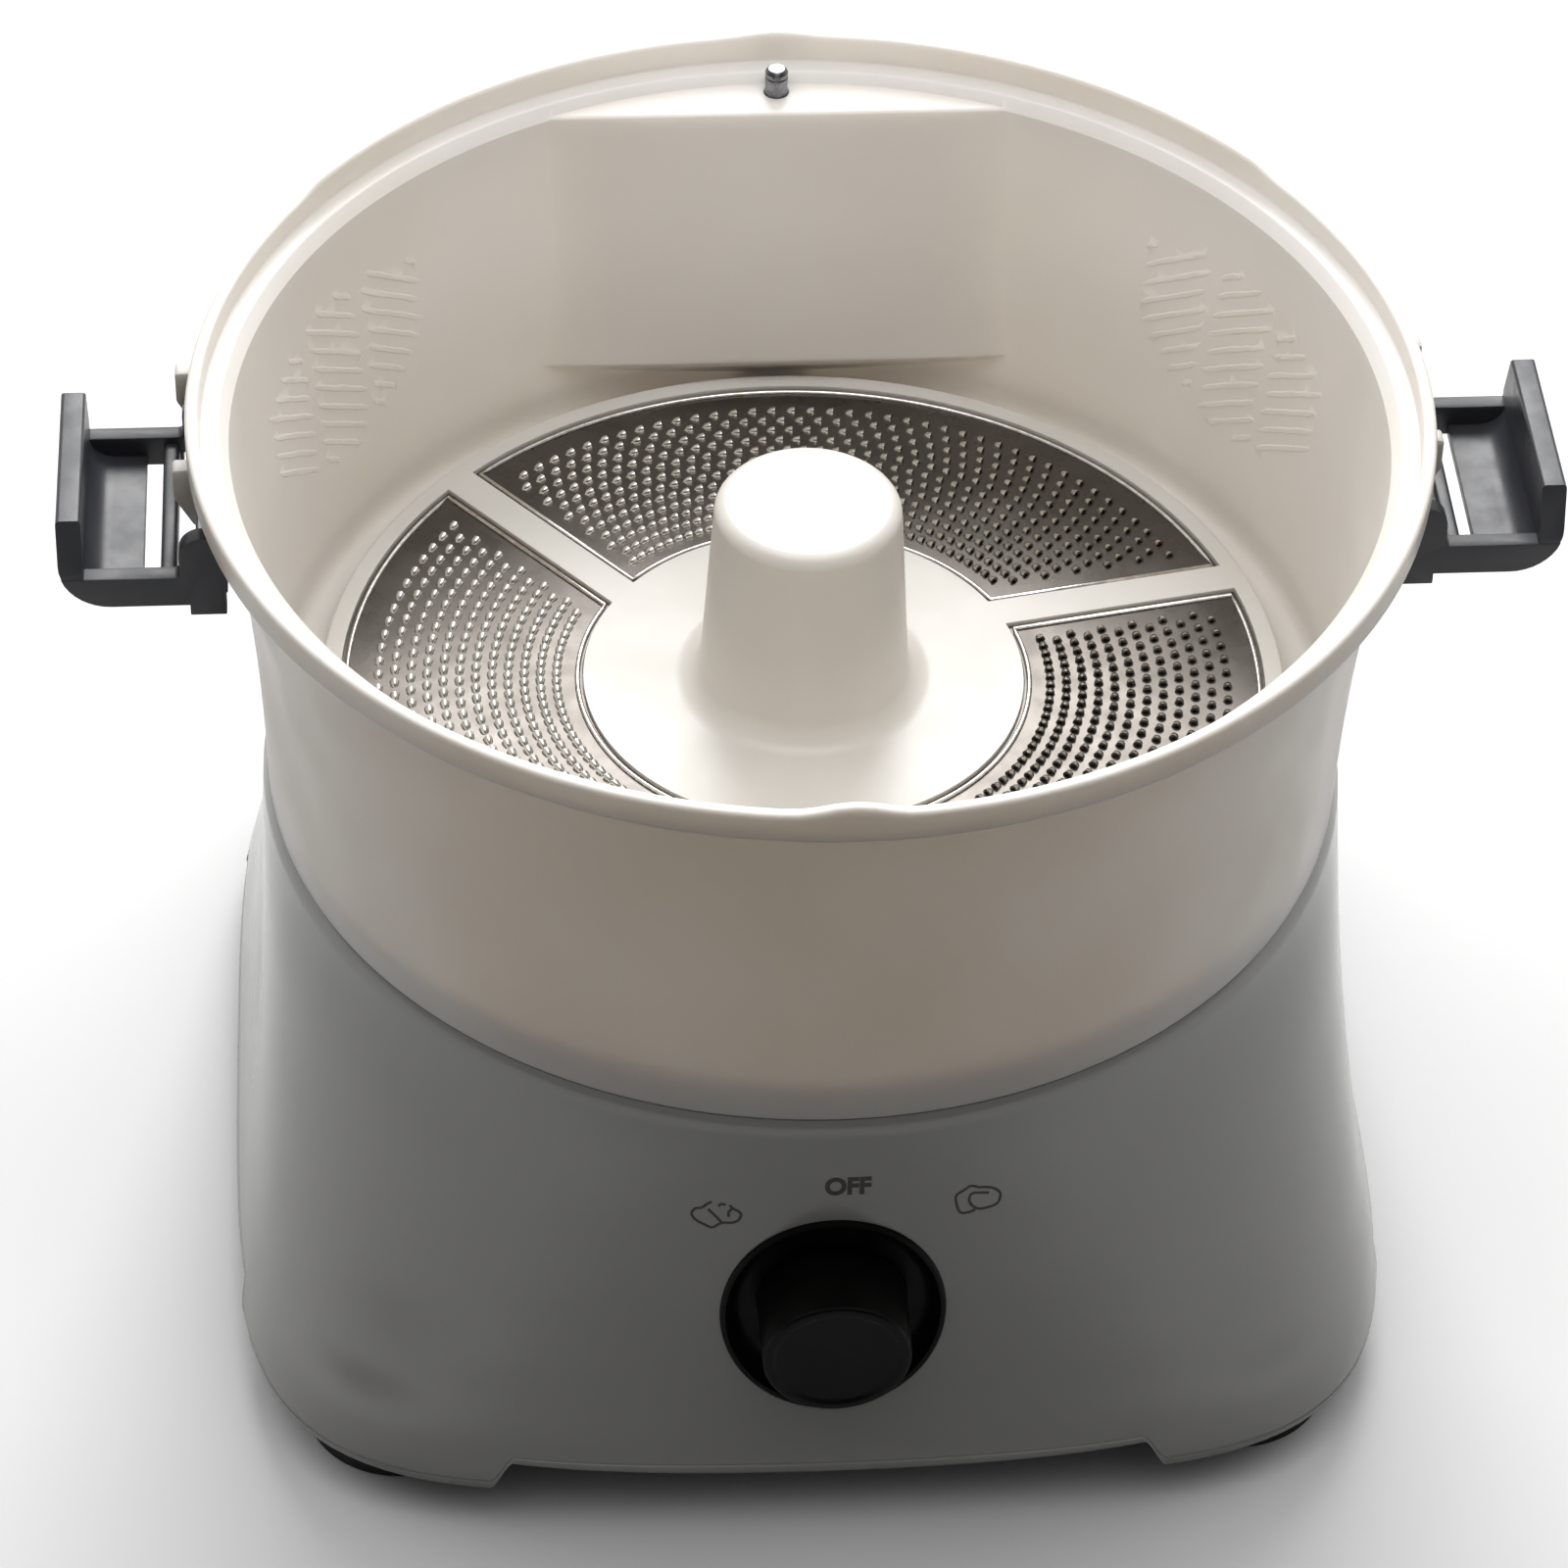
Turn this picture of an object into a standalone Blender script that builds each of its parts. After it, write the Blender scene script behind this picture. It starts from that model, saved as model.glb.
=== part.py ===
"""Electric potato peeler with its lid off: a bowl with a turning grater disc on a motor base.

Units are metres, +Z is up and the control knob faces -Y. Pieces are modelled around the
bowl's vertical axis, and one empty carries that axis to its place in the part's frame.
"""
import math

import bmesh
import bpy
from mathutils import Vector

# General fits and facets
GAP = 0.0003
BORE_GAP = 0.0003
OVERRUN = 0.002
MERGE = 0.00001
ROUND_STEPS = 44
DISC_STEPS = 44
BAY_ARC_POINTS = 11
SMALL_STEPS = 16
TINY_STEPS = 10
# The middle of a quarter round, from either edge, as a share of its radius
ROUND_MIDDLE_SHARE = 0.3

# Main heights, and the disc that the bowl and the base are sized around
SEAM_Z = 0.104
LIP_TOP = 0.195
DISC_RADIUS = 0.0985
DISC_TO_WALL = 0.0113
WALL_FOOT_RADIUS = DISC_RADIUS + DISC_TO_WALL

# Bowl: lip, wall, floor and central chimney
WALL_FLARE = 0.0067
WALL_TOP_RADIUS = WALL_FOOT_RADIUS + WALL_FLARE
LIP_OVERHANG = 0.0060
LIP_RADIUS = WALL_TOP_RADIUS + LIP_OVERHANG
LIP_THICKNESS = 0.0027
LIP_ROUND = 0.0006
COLLAR_HEIGHT = 0.0063
LEDGE_DEPTH = 0.0050
LEDGE_Z = LIP_TOP - LEDGE_DEPTH
LEDGE_INSET = 0.0002
LEDGE_RADIUS = WALL_TOP_RADIUS - LEDGE_INSET
BOWL_WALL = 0.0022
SKIRT_STEP = 0.0022
SKIRT_RADIUS = WALL_FOOT_RADIUS - SKIRT_STEP
SKIRT_WALL = 0.0020
SKIRT_DEPTH = 0.0120
FLOOR_LIFT = 0.009
FLOOR_TOP = SEAM_Z + FLOOR_LIFT
FLOOR_THICKNESS = 0.0022
FLOOR_ROUND = 0.0040
CHIMNEY_RADIUS = 0.0110
CHIMNEY_BORE = 0.0090
CHIMNEY_HEIGHT = 0.037
CHIMNEY_TOP = FLOOR_TOP + CHIMNEY_HEIGHT
# Wall height above the seam and flare beyond the foot radius, as shares of their full values
WALL_SHARES = ((0.00, 0.00), (0.37, 0.15), (0.60, 0.37), (0.78, 0.66), (1.00, 1.00))
BUMP_HALF_WIDTH = 0.0120
FRONT_BUMP_HEIGHT = 0.0020
REAR_BUMP_HEIGHT = 0.0010
REAR_ARC_RAISE = 0.0012
REAR_ARC_START = math.radians(34)
REAR_ARC_END = math.radians(146)
REAR_ARC_EASE = math.radians(3)

# Rear pocket of the bowl and the interlock rod in it
POCKET_HALF_WIDTH = 0.0478
POCKET_FOOT_HALF_WIDTH = 0.0500
POCKET_FOOT_LIFT = 0.0055
SHELF_BELOW_LIP = 0.007
POCKET_SHELF_Z = LIP_TOP - SHELF_BELOW_LIP
ROD_INSET = 0.0049
ROD_Y = WALL_TOP_RADIUS - ROD_INSET
ROD_RADIUS = 0.0024
ROD_BELOW_LIP = 0.001
ROD_TOP = LIP_TOP - ROD_BELOW_LIP
ROD_TRAVEL = 0.005
ROD_COLLAR_RADIUS = 0.0039
ROD_COLLAR_THICKNESS = 0.0015
ROD_DOME = 0.0008
SHELF_THICKNESS = 0.0040
SPRING_CHAMBER_RADIUS = 0.0044
SPRING_LENGTH = 0.0286
SPRING_WIRE_RADIUS = 0.0004
SPRING_TURNS = 6
SPRING_POINTS_PER_TURN = 8
CHANNEL_HALF_WIDTH = 0.0080
CHANNEL_WALL = 0.0018
CHANNEL_ROUND = 0.0020
CHANNEL_SINK = 0.0010

# Grater disc and its hub
DISC_LIFT = 0.0095
DISC_TOP = FLOOR_TOP + DISC_LIFT
DISC_THICKNESS = 0.0040
DISC_RIM_WIDTH = 0.0040
POCKET_DEPTH = 0.0020
PLATE_RADIUS = 0.0450
ARM_COUNT = 3
ARM_WIDTH = 0.0075
ARM_AZIMUTH = math.radians(23)
ARM_SWEEP = math.radians(12)
HUB_HEIGHT = 0.0455
HUB_TOP = DISC_TOP + HUB_HEIGHT
HUB_TOP_RADIUS = 0.0187
HUB_TOP_ROUND = 0.0025
HUB_FOOT_RADIUS = 0.0215
HUB_FOOT_ROUND = 0.0055
HUB_WALL = 0.0035
SOCKET_DEPTH = 0.0140
INSERT_THICKNESS = 0.0008
TOOTH_HEIGHT = 0.0017
TOOTH_WIDTH = 0.0026
TOOTH_LENGTH = 0.0036
TOOTH_ROOT = 0.0003
TOOTH_MARGIN = 0.0090
TOOTH_RIM_MARGIN = 0.0040
TOOTH_ROW_PITCH = 0.0062
TOOTH_PITCH = 0.0120
# Where a row's first tooth stands in its pitch, in even and odd rows
ROW_START_SHARES = (0.75, 0.25)

# Base housing, a loft from the round collar to a rounded square
BASE_BOTTOM = 0.009
COLLAR_STEP = 0.0010
BASE_COLLAR_RADIUS = WALL_FOOT_RADIUS + COLLAR_STEP
BASE_FLARE = 0.0098
BASE_HALF_SIDE = BASE_COLLAR_RADIUS + BASE_FLARE
BASE_WALL = 0.0026
DECK_SINK = 0.0135
DECK_TOP = SEAM_Z - DECK_SINK
DECK_THICKNESS = 0.0025
# Height share, flare share and squareness exponent of each section, from the bottom edge up
BASE_SECTION_SHARES = (
    (0.000, 0.90, 4.50),
    (0.016, 1.00, 4.55),
    (0.105, 0.82, 4.75),
    (0.263, 0.53, 4.05),
    (0.447, 0.31, 3.22),
    (0.684, 0.13, 2.53),
    (0.985, 0.00, 2.00),
    (1.000, -0.12, 2.00),
)
NOTCH_HALF_LENGTH = 0.064
NOTCH_HEIGHT = 0.004
NOTCH_EASE = 0.008
NOTCH_EASE_POINTS = 5
SPINDLE_TOWER_RADIUS = 0.0085
SPINDLE_TOWER_RISE = 0.007
SPINDLE_TOWER_TOP = FLOOR_TOP + SPINDLE_TOWER_RISE
SWITCH_TOWER_HALF_WIDTH = 0.0105
SWITCH_TOWER_FOOT = 0.030
SWITCH_TOWER_WALL = 0.0030

# Bottom plate, its bosses and screws, and the feet
PLATE_UNDERSIDE = 0.0135
PLATE_THICKNESS = 0.0025
SCREW_INSET = 0.0117
SCREW_BOSS_X = BASE_HALF_SIDE - SCREW_INSET
SCREW_BOSS_Y = 0.040
SCREW_BOSS_RADIUS = 0.0055
SCREW_BOSS_HEIGHT = 0.018
SCREW_RIB_THICKNESS = 0.0040
SCREW_RADIUS = 0.0013
SCREW_LENGTH = 0.016
SCREW_HEAD_RADIUS = 0.0032
SCREW_HEAD_HEIGHT = 0.0022
FOOT_INSET = 0.0346
FOOT_OFFSET = BASE_HALF_SIDE - FOOT_INSET
FOOT_RADIUS = 0.020
FOOT_RIM_WIDTH = 0.0035
FOOT_CUP_DEPTH = 0.0025
FOOT_FLANGE_HEIGHT = 0.0035
FOOT_NECK_RADIUS = 0.012
FOOT_STUD_RADIUS = 0.004
FOOT_STUD_RISE = 0.002
# Depth of the cup half way out to its rim, as a share of its full depth
FOOT_CUP_SHARE = 0.8

# Drive: spindle, bushes, gears and motor
SPINDLE_RADIUS = 0.004
DOG_ACROSS_FLATS = 0.012
DOG_HEIGHT = 0.011
BUSH_RADIUS = 0.0065
BUSH_FLANGE_RADIUS = 0.0082
BUSH_FLANGE_THICKNESS = 0.0012
BUSH_LENGTH = 0.014
LOWER_BOSS_RADIUS = 0.0098
LOWER_BOSS_HEIGHT = 0.016
LOWER_BOSS_FLOOR = 0.0015
GEAR_PLATE_DEPTH = 0.0277
GEAR_PLATE_THICKNESS = 0.002
GEAR_PLATE_MARGIN = 0.0053
GEAR_PLATE_RIGHT = 0.022
GEAR_PLATE_BACK = 0.022
GEAR_PLATE_ROUND = 0.008
POST_RADIUS = 0.005
GEAR_MODULE_SHARE = 0.0203046
GEAR_MODULE = DISC_RADIUS * GEAR_MODULE_SHARE
PRESSURE_ANGLE = math.radians(25)
ADDENDUM_SHARE = 0.8
DEDENDUM_SHARE = 1.1
GEAR_BACKLASH = 0.0003
OUTPUT_TEETH = 36
IDLER_SMALL_TEETH = 12
IDLER_LARGE_TEETH = 30
PINION_TEETH = 10
GEAR_WIDTH = 0.009
GEAR_SPACE = 0.0017
GEAR_HUB_RADIUS = 0.009
IDLER_AZIMUTH = math.radians(180)
MOTOR_AZIMUTH = math.radians(250)
PIN_RADIUS = 0.003
PIN_HEAD_RADIUS = 0.005
PIN_HEAD_THICKNESS = 0.0015
MOTOR_RADIUS_SHARE = 0.3046
MOTOR_RADIUS = DISC_RADIUS * MOTOR_RADIUS_SHARE
MOTOR_ROUND = 0.003
MOTOR_NECK_RADIUS = 0.010
MOTOR_NECK_HEIGHT = 0.002
MOTOR_SHAFT_SHARE = 0.68

# Control knob, its dish and the rotary switch
KNOB_HEIGHT_SHARE = 0.4737
KNOB_Z = BASE_BOTTOM + KNOB_HEIGHT_SHARE * (SEAM_Z - BASE_BOTTOM)
KNOB_RADIUS = 0.0150
KNOB_STAND_OUT = 0.0130
KNOB_ROUND = 0.0012
DISH_RADIUS = 0.0225
DISH_LIP_WIDTH = 0.0009
DISH_LIP_HEIGHT = 0.0006
DISH_FLOOR_RADIUS = 0.0185
DISH_DEPTH = 0.0040
DISH_FLOOR_THICKNESS = 0.0020
DISH_STEPS = 24
SWITCH_SHAFT_RADIUS = 0.003
SWITCH_SHAFT_GRIP = 0.010
SWITCH_HALF_SIDE = 0.013
SWITCH_DEPTH = 0.017

# Latches, the lugs on the bowl that carry them and their pins
HINGE_INSET = 0.0030
HINGE_X = LIP_RADIUS - HINGE_INSET
HINGE_BELOW_LIP = 0.018
HINGE_Z = LIP_TOP - HINGE_BELOW_LIP
LATCH_HALF_LENGTH = 0.0236
LATCH_ARM_THICKNESS = 0.0036
LATCH_OUTER = 0.0281
LATCH_WALL = 0.0049
LATCH_WALL_TOP = 0.0070
LATCH_WALL_TAPER = 0.0036
LATCH_BOTTOM = 0.0120
LATCH_FLOOR = 0.0025
LATCH_ARM_TOP = 0.0050
LATCH_CORNER_ROUND = 0.0100
LATCH_INNER_ROUND = 0.0050
LATCH_FLOOR_START = 0.0119
LATCH_BAR_START = 0.0053
LATCH_BAR_END = 0.0085
LATCH_BAR_TOP = 0.0065
KNUCKLE_RADIUS = 0.0046
KNUCKLE_BLOCK_BOTTOM = 0.0090
TOE_BOTTOM = 0.0145
TOE_INNER = 0.0042
TOE_OUTER = 0.0029
LATCH_PIN_RADIUS = 0.0014
LUG_THICKNESS = 0.0036
LUG_OUTER = 0.0057
LUG_TOP = 0.0080
LUG_SHOULDER = 0.0010
LUG_TIP = 0.0020
LUG_BOTTOM = 0.0060
FRONT_LUG_Y = -0.0048

# Cord gland, safety switch and control board
GLAND_X = 0.045
GLAND_Z = 0.030
GLAND_RADIUS = 0.0060
GLAND_FLANGE_RADIUS = 0.0085
GLAND_FLANGE_THICKNESS = 0.0030
GLAND_NOSE_RADIUS = 0.0055
GLAND_NOSE_LENGTH = 0.0040
GLAND_BORE = 0.0036
GLAND_BORE_DEPTH = 0.0065
GLAND_TAIL = 0.0080
SAFETY_SWITCH_HEIGHT = 0.024
SAFETY_SWITCH_DEPTH = 0.0115
SAFETY_BUTTON_RADIUS = 0.0021
BOARD_INSET = 0.0546
BOARD_X = BASE_HALF_SIDE - BOARD_INSET
BOARD_LENGTH = 0.080
BOARD_WIDTH = 0.052
BOARD_THICKNESS = 0.0016
BOARD_LIFT = 0.008
BOARD_POST_RADIUS = 0.003
BOARD_POST_INSET = 0.006
CAPACITOR_LENGTH = 0.026
CAPACITOR_WIDTH = 0.012
CAPACITOR_HEIGHT = 0.016
HEATSINK_HEIGHT = 0.020
HEATSINK_LENGTH = 0.030
HEATSINK_THICKNESS = 0.003
CHIP_SIDE = 0.010
CHIP_HEIGHT = 0.003

# Derived places
LIP_INNER_RADIUS = LIP_RADIUS - LIP_THICKNESS
COLLAR_BOTTOM = LIP_TOP - COLLAR_HEIGHT
WALL_FOOT_Z = SEAM_Z + GAP
FLOOR_BOTTOM = FLOOR_TOP - FLOOR_THICKNESS
COLLAR_BORE = SKIRT_RADIUS + GAP
DECK_BOTTOM = DECK_TOP - DECK_THICKNESS
CHANNEL_BACK_Y = ROD_Y + SPRING_CHAMBER_RADIUS + CHANNEL_WALL
CHAMBER_TOP = POCKET_SHELF_Z - SHELF_THICKNESS
CHAMBER_BOTTOM = CHAMBER_TOP - GAP - ROD_COLLAR_THICKNESS - GAP - SPRING_LENGTH - GAP
ROD_BOTTOM = SEAM_Z + GAP + GAP
WEB_TOP = DISC_TOP - POCKET_DEPTH
DISC_BOTTOM = DISC_TOP - DISC_THICKNESS
SOCKET_TOP = HUB_TOP - HUB_WALL
SOCKET_BOTTOM = SOCKET_TOP - SOCKET_DEPTH
DOG_TOP = SOCKET_TOP - GAP
PLATE_TOP = PLATE_UNDERSIDE + PLATE_THICKNESS
LOWER_BUSH_TOP = PLATE_TOP + LOWER_BOSS_HEIGHT
SPINDLE_BOTTOM = PLATE_TOP + LOWER_BOSS_FLOOR + GAP
GEAR_PLATE_Z = DECK_BOTTOM - GEAR_PLATE_DEPTH
GEAR_PLATE_TOP = GEAR_PLATE_Z + GEAR_PLATE_THICKNESS
MOTOR_SHAFT_DEPTH = MOTOR_SHAFT_SHARE * (GEAR_PLATE_Z - PLATE_TOP)
LOWER_GEAR_Z = GEAR_PLATE_TOP + GEAR_SPACE
UPPER_GEAR_Z = LOWER_GEAR_Z + GEAR_WIDTH + GEAR_SPACE
GEARS_TOP = UPPER_GEAR_Z + GEAR_WIDTH


def pitch_radius(teeth):
    """Pitch radius of a gear with this many teeth."""
    return GEAR_MODULE * teeth / 2


def polar(radius, angle):
    """Point on the plan at a radius and an azimuth."""
    return Vector((radius * math.cos(angle), radius * math.sin(angle)))


IDLER_XY = polar(pitch_radius(OUTPUT_TEETH) + pitch_radius(IDLER_SMALL_TEETH), IDLER_AZIMUTH)
MOTOR_XY = IDLER_XY + polar(pitch_radius(IDLER_LARGE_TEETH) + pitch_radius(PINION_TEETH), MOTOR_AZIMUTH)
GEAR_PLATE_LEFT = MOTOR_RADIUS + GEAR_PLATE_MARGIN - MOTOR_XY.x
GEAR_PLATE_FRONT = MOTOR_RADIUS + GEAR_PLATE_MARGIN - MOTOR_XY.y


def base_section(z):
    """Half side and squareness exponent of the base housing at a height."""
    share = (z - BASE_BOTTOM) / (SEAM_Z - BASE_BOTTOM)
    share = min(max(share, 0.0), 1.0)
    for lower, upper in zip(BASE_SECTION_SHARES, BASE_SECTION_SHARES[1:]):
        if share <= upper[0]:
            blend = (share - lower[0]) / (upper[0] - lower[0])
            flare = lower[1] + blend * (upper[1] - lower[1])
            squareness = lower[2] + blend * (upper[2] - lower[2])
            break
    return BASE_COLLAR_RADIUS + flare * (BASE_HALF_SIDE - BASE_COLLAR_RADIUS), squareness


def base_radius(angle, z, inset=0.0):
    """Radius of the base housing's outline in a direction, less an inset of its half side."""
    half_side, squareness = base_section(z)
    spread = abs(math.cos(angle)) ** squareness + abs(math.sin(angle)) ** squareness
    return (half_side - inset) / spread ** (1 / squareness)


def base_front_y(x, z):
    """Y of the base housing's front face at a place across and up."""
    half_side, squareness = base_section(z)
    return -half_side * (1 - abs(x / half_side) ** squareness) ** (1 / squareness)


DISH_PLANE_Y = base_front_y(0, KNOB_Z)
DISH_FLOOR_Y = DISH_PLANE_Y + DISH_DEPTH
DISH_BACK_Y = DISH_FLOOR_Y + DISH_FLOOR_THICKNESS
KNOB_FACE_Y = DISH_PLANE_Y - KNOB_STAND_OUT
GLAND_FACE_Y = -base_front_y(GLAND_X, GLAND_Z - GLAND_FLANGE_RADIUS) + GAP
GLAND_END_Y = GLAND_FACE_Y + GLAND_FLANGE_THICKNESS + GLAND_NOSE_LENGTH
# The bounding box reaches from the knob's face to the gland's nose, and its middle is the origin
AXIS_Y = (-KNOB_FACE_Y - GLAND_END_Y) / 2


# Scene, materials and modelling helpers
def clear_scene():
    """Remove the scene's objects and make the two collections and the axis empty."""
    for item in list(bpy.data.objects):
        bpy.data.objects.remove(item, do_unlink=True)
    parts = bpy.data.collections.new("potato_peeler")
    cutters = bpy.data.collections.new("cutters")
    bpy.context.scene.collection.children.link(parts)
    bpy.context.scene.collection.children.link(cutters)
    axis = bpy.data.objects.new("bowl_axis", None)
    axis.location = (0, AXIS_Y, 0)
    parts.objects.link(axis)
    return parts, cutters, axis


def make_material(name, color, roughness, metallic=0.0):
    """Principled material with a linear base colour."""
    material = bpy.data.materials.new(name)
    material.use_nodes = True
    shader = material.node_tree.nodes["Principled BSDF"]
    shader.inputs["Base Color"].default_value = (*color, 1)
    shader.inputs["Roughness"].default_value = roughness
    shader.inputs["Metallic"].default_value = metallic
    return material


PARTS, CUTTERS, AXIS = clear_scene()
BOWL_PLASTIC = make_material("bowl_plastic", (0.59, 0.51, 0.45), 0.38)
BASE_PLASTIC = make_material("base_plastic", (0.22, 0.21, 0.20), 0.18)
BLACK_PLASTIC = make_material("black_plastic", (0.012, 0.012, 0.012), 0.35)
LATCH_PLASTIC = make_material("latch_plastic", (0.05, 0.05, 0.052), 0.40)
DISC_PLASTIC = make_material("disc_plastic", (0.80, 0.78, 0.74), 0.35)
RUBBER = make_material("rubber", (0.015, 0.015, 0.015), 0.80)
STEEL = make_material("steel", (0.55, 0.55, 0.56), 0.30, 1.0)
BRASS = make_material("brass", (0.60, 0.42, 0.16), 0.35, 1.0)
GEAR_NYLON = make_material("gear_nylon", (0.72, 0.70, 0.62), 0.50)
BOARD_RESIN = make_material("board_resin", (0.03, 0.16, 0.05), 0.50)


def add_object(name, mesh, material, location=(0, 0, 0), rotation=(0, 0, 0), helper=False):
    """Object on the bowl's axis empty, either a sub-part or a helper for a Boolean."""
    item = bpy.data.objects.new(name, mesh)
    item.location = location
    item.rotation_euler = rotation
    item.parent = AXIS
    if helper:
        item.hide_render = True
        item.display_type = "WIRE"
        CUTTERS.objects.link(item)
    else:
        mesh.materials.append(material)
        PARTS.objects.link(item)
    return item


def boolean(target, tool, operation):
    """Boolean modifier that joins, cuts or keeps the overlap with a helper."""
    modifier = target.modifiers.new(tool.name, "BOOLEAN")
    modifier.object = tool
    modifier.operation = operation
    modifier.solver = "EXACT"
    return target


def shade_round(mesh, angle=math.radians(35)):
    """Smooth shading with sharp edges past an angle."""
    mesh.shade_smooth()
    mesh.set_sharp_from_angle(angle=angle)


def box(name, size, centre, material=None, rotation=(0, 0, 0)):
    """Box by its size and centre; without a material it is a helper."""
    mesh = bpy.data.meshes.new(name)
    shape = bmesh.new()
    bmesh.ops.create_cube(shape, size=1)
    bmesh.ops.scale(shape, vec=size, verts=shape.verts)
    shape.to_mesh(mesh)
    shape.free()
    return add_object(name, mesh, material, centre, rotation, helper=material is None)


def cylinder(name, radius, start, end, material=None, steps=SMALL_STEPS, top_radius=None):
    """Cylinder or cone between two points on a line along X, Y or Z."""
    run = Vector(end) - Vector(start)
    mesh = bpy.data.meshes.new(name)
    shape = bmesh.new()
    bmesh.ops.create_cone(shape, cap_ends=True, segments=steps, radius1=radius,
                          radius2=radius if top_radius is None else top_radius, depth=run.length)
    shape.to_mesh(mesh)
    shape.free()
    shade_round(mesh)
    turn = Vector((0, 0, 1)).rotation_difference(run).to_euler()
    middle = (Vector(start) + Vector(end)) / 2
    return add_object(name, mesh, material, middle, turn, helper=material is None)


def turned(name, profile, material=None, steps=SMALL_STEPS, closed=False, location=(0, 0, 0),
           rotation=(0, 0, 0)):
    """Turned solid: a profile of radius and height points, top to bottom, with a Screw modifier."""
    mesh = bpy.data.meshes.new(name)
    edges = [(i, i + 1) for i in range(len(profile) - 1)]
    if closed:
        edges.append((len(profile) - 1, 0))
    mesh.from_pydata([(radius, 0, height) for radius, height in profile], edges, [])
    item = add_object(name, mesh, material, location, rotation, helper=material is None)
    screw = item.modifiers.new("turn", "SCREW")
    screw.steps = steps
    screw.render_steps = steps
    screw.use_merge_vertices = True
    screw.merge_threshold = MERGE
    screw.use_smooth_shade = True
    return item


def extruded(name, outlines, thickness, material=None, location=(0, 0, 0), rotation=(0, 0, 0)):
    """Flat outline with its holes, extruded evenly about its plane."""
    curve = bpy.data.curves.new(name, "CURVE")
    curve.dimensions = "2D"
    curve.fill_mode = "BOTH"
    curve.extrude = thickness / 2
    for outline in outlines:
        spline = curve.splines.new("POLY")
        spline.points.add(len(outline) - 1)
        for point, place in zip(spline.points, outline):
            point.co = (place[0], place[1], 0, 1)
        spline.use_cyclic_u = True
    flat = bpy.data.objects.new(name, curve)
    mesh = bpy.data.meshes.new_from_object(flat)
    bpy.data.objects.remove(flat)
    shape = bmesh.new()
    shape.from_mesh(mesh)
    bmesh.ops.remove_doubles(shape, verts=shape.verts, dist=MERGE)
    bmesh.ops.recalc_face_normals(shape, faces=shape.faces)
    shape.to_mesh(mesh)
    shape.free()
    mesh.name = name
    return add_object(name, mesh, material, location, rotation, helper=material is None)


def lofted(name, rings, material=None, capped=True):
    """Solid through rings of points; uncapped rings close on themselves like a tyre."""
    mesh = bpy.data.meshes.new(name)
    shape = bmesh.new()
    loops = [[shape.verts.new(point) for point in ring] for ring in rings]
    pairs = list(zip(loops, loops[1:]))
    if not capped:
        pairs.append((loops[-1], loops[0]))
    for lower, upper in pairs:
        for i in range(len(lower)):
            after = (i + 1) % len(lower)
            shape.faces.new((lower[i], lower[after], upper[after], upper[i]))
    if capped:
        shape.faces.new(reversed(loops[0]))
        shape.faces.new(loops[-1])
    bmesh.ops.recalc_face_normals(shape, faces=shape.faces)
    shape.to_mesh(mesh)
    shape.free()
    shade_round(mesh)
    return add_object(name, mesh, material, helper=material is None)


def arc(centre, radius, start, end, count):
    """Points along an arc, both ends included."""
    return [Vector(centre) + polar(radius, start + (end - start) * i / (count - 1)) for i in range(count)]


def circle(radius, centre=(0, 0), steps=SMALL_STEPS):
    """Closed circle of points."""
    return [Vector(centre) + polar(radius, 2 * math.pi * i / steps) for i in range(steps)]


def rounded_rectangle(left, right, front, back, radius):
    """Outline of a rectangle with round corners, anticlockwise."""
    corners = ((right - radius, back - radius, 0), (left + radius, back - radius, 1),
               (left + radius, front + radius, 2), (right - radius, front + radius, 3))
    points = []
    for x, y, quarter in corners:
        points += arc((x, y), radius, quarter * math.pi / 2, (quarter + 1) * math.pi / 2, 5)
    return points


def evaluated_mesh(item):
    """Mesh of an object with its modifiers applied."""
    graph = bpy.context.evaluated_depsgraph_get()
    return bpy.data.meshes.new_from_object(item.evaluated_get(graph))


# Bowl
def wall_radius(z):
    """Outer radius of the bowl's wall at a height between the seam and the collar."""
    share = (z - WALL_FOOT_Z) / (COLLAR_BOTTOM - WALL_FOOT_Z)
    for lower, upper in zip(WALL_SHARES, WALL_SHARES[1:]):
        if share <= upper[0]:
            break
    blend = (share - lower[0]) / (upper[0] - lower[0])
    flare_share = lower[1] + blend * (upper[1] - lower[1])
    return WALL_FOOT_RADIUS + flare_share * (WALL_TOP_RADIUS - WALL_FOOT_RADIUS)


def wall_heights():
    """Heights of the wall's profile points, from the collar down to the seam."""
    return [WALL_FOOT_Z + share * (COLLAR_BOTTOM - WALL_FOOT_Z) for share, _ in reversed(WALL_SHARES)]


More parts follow.
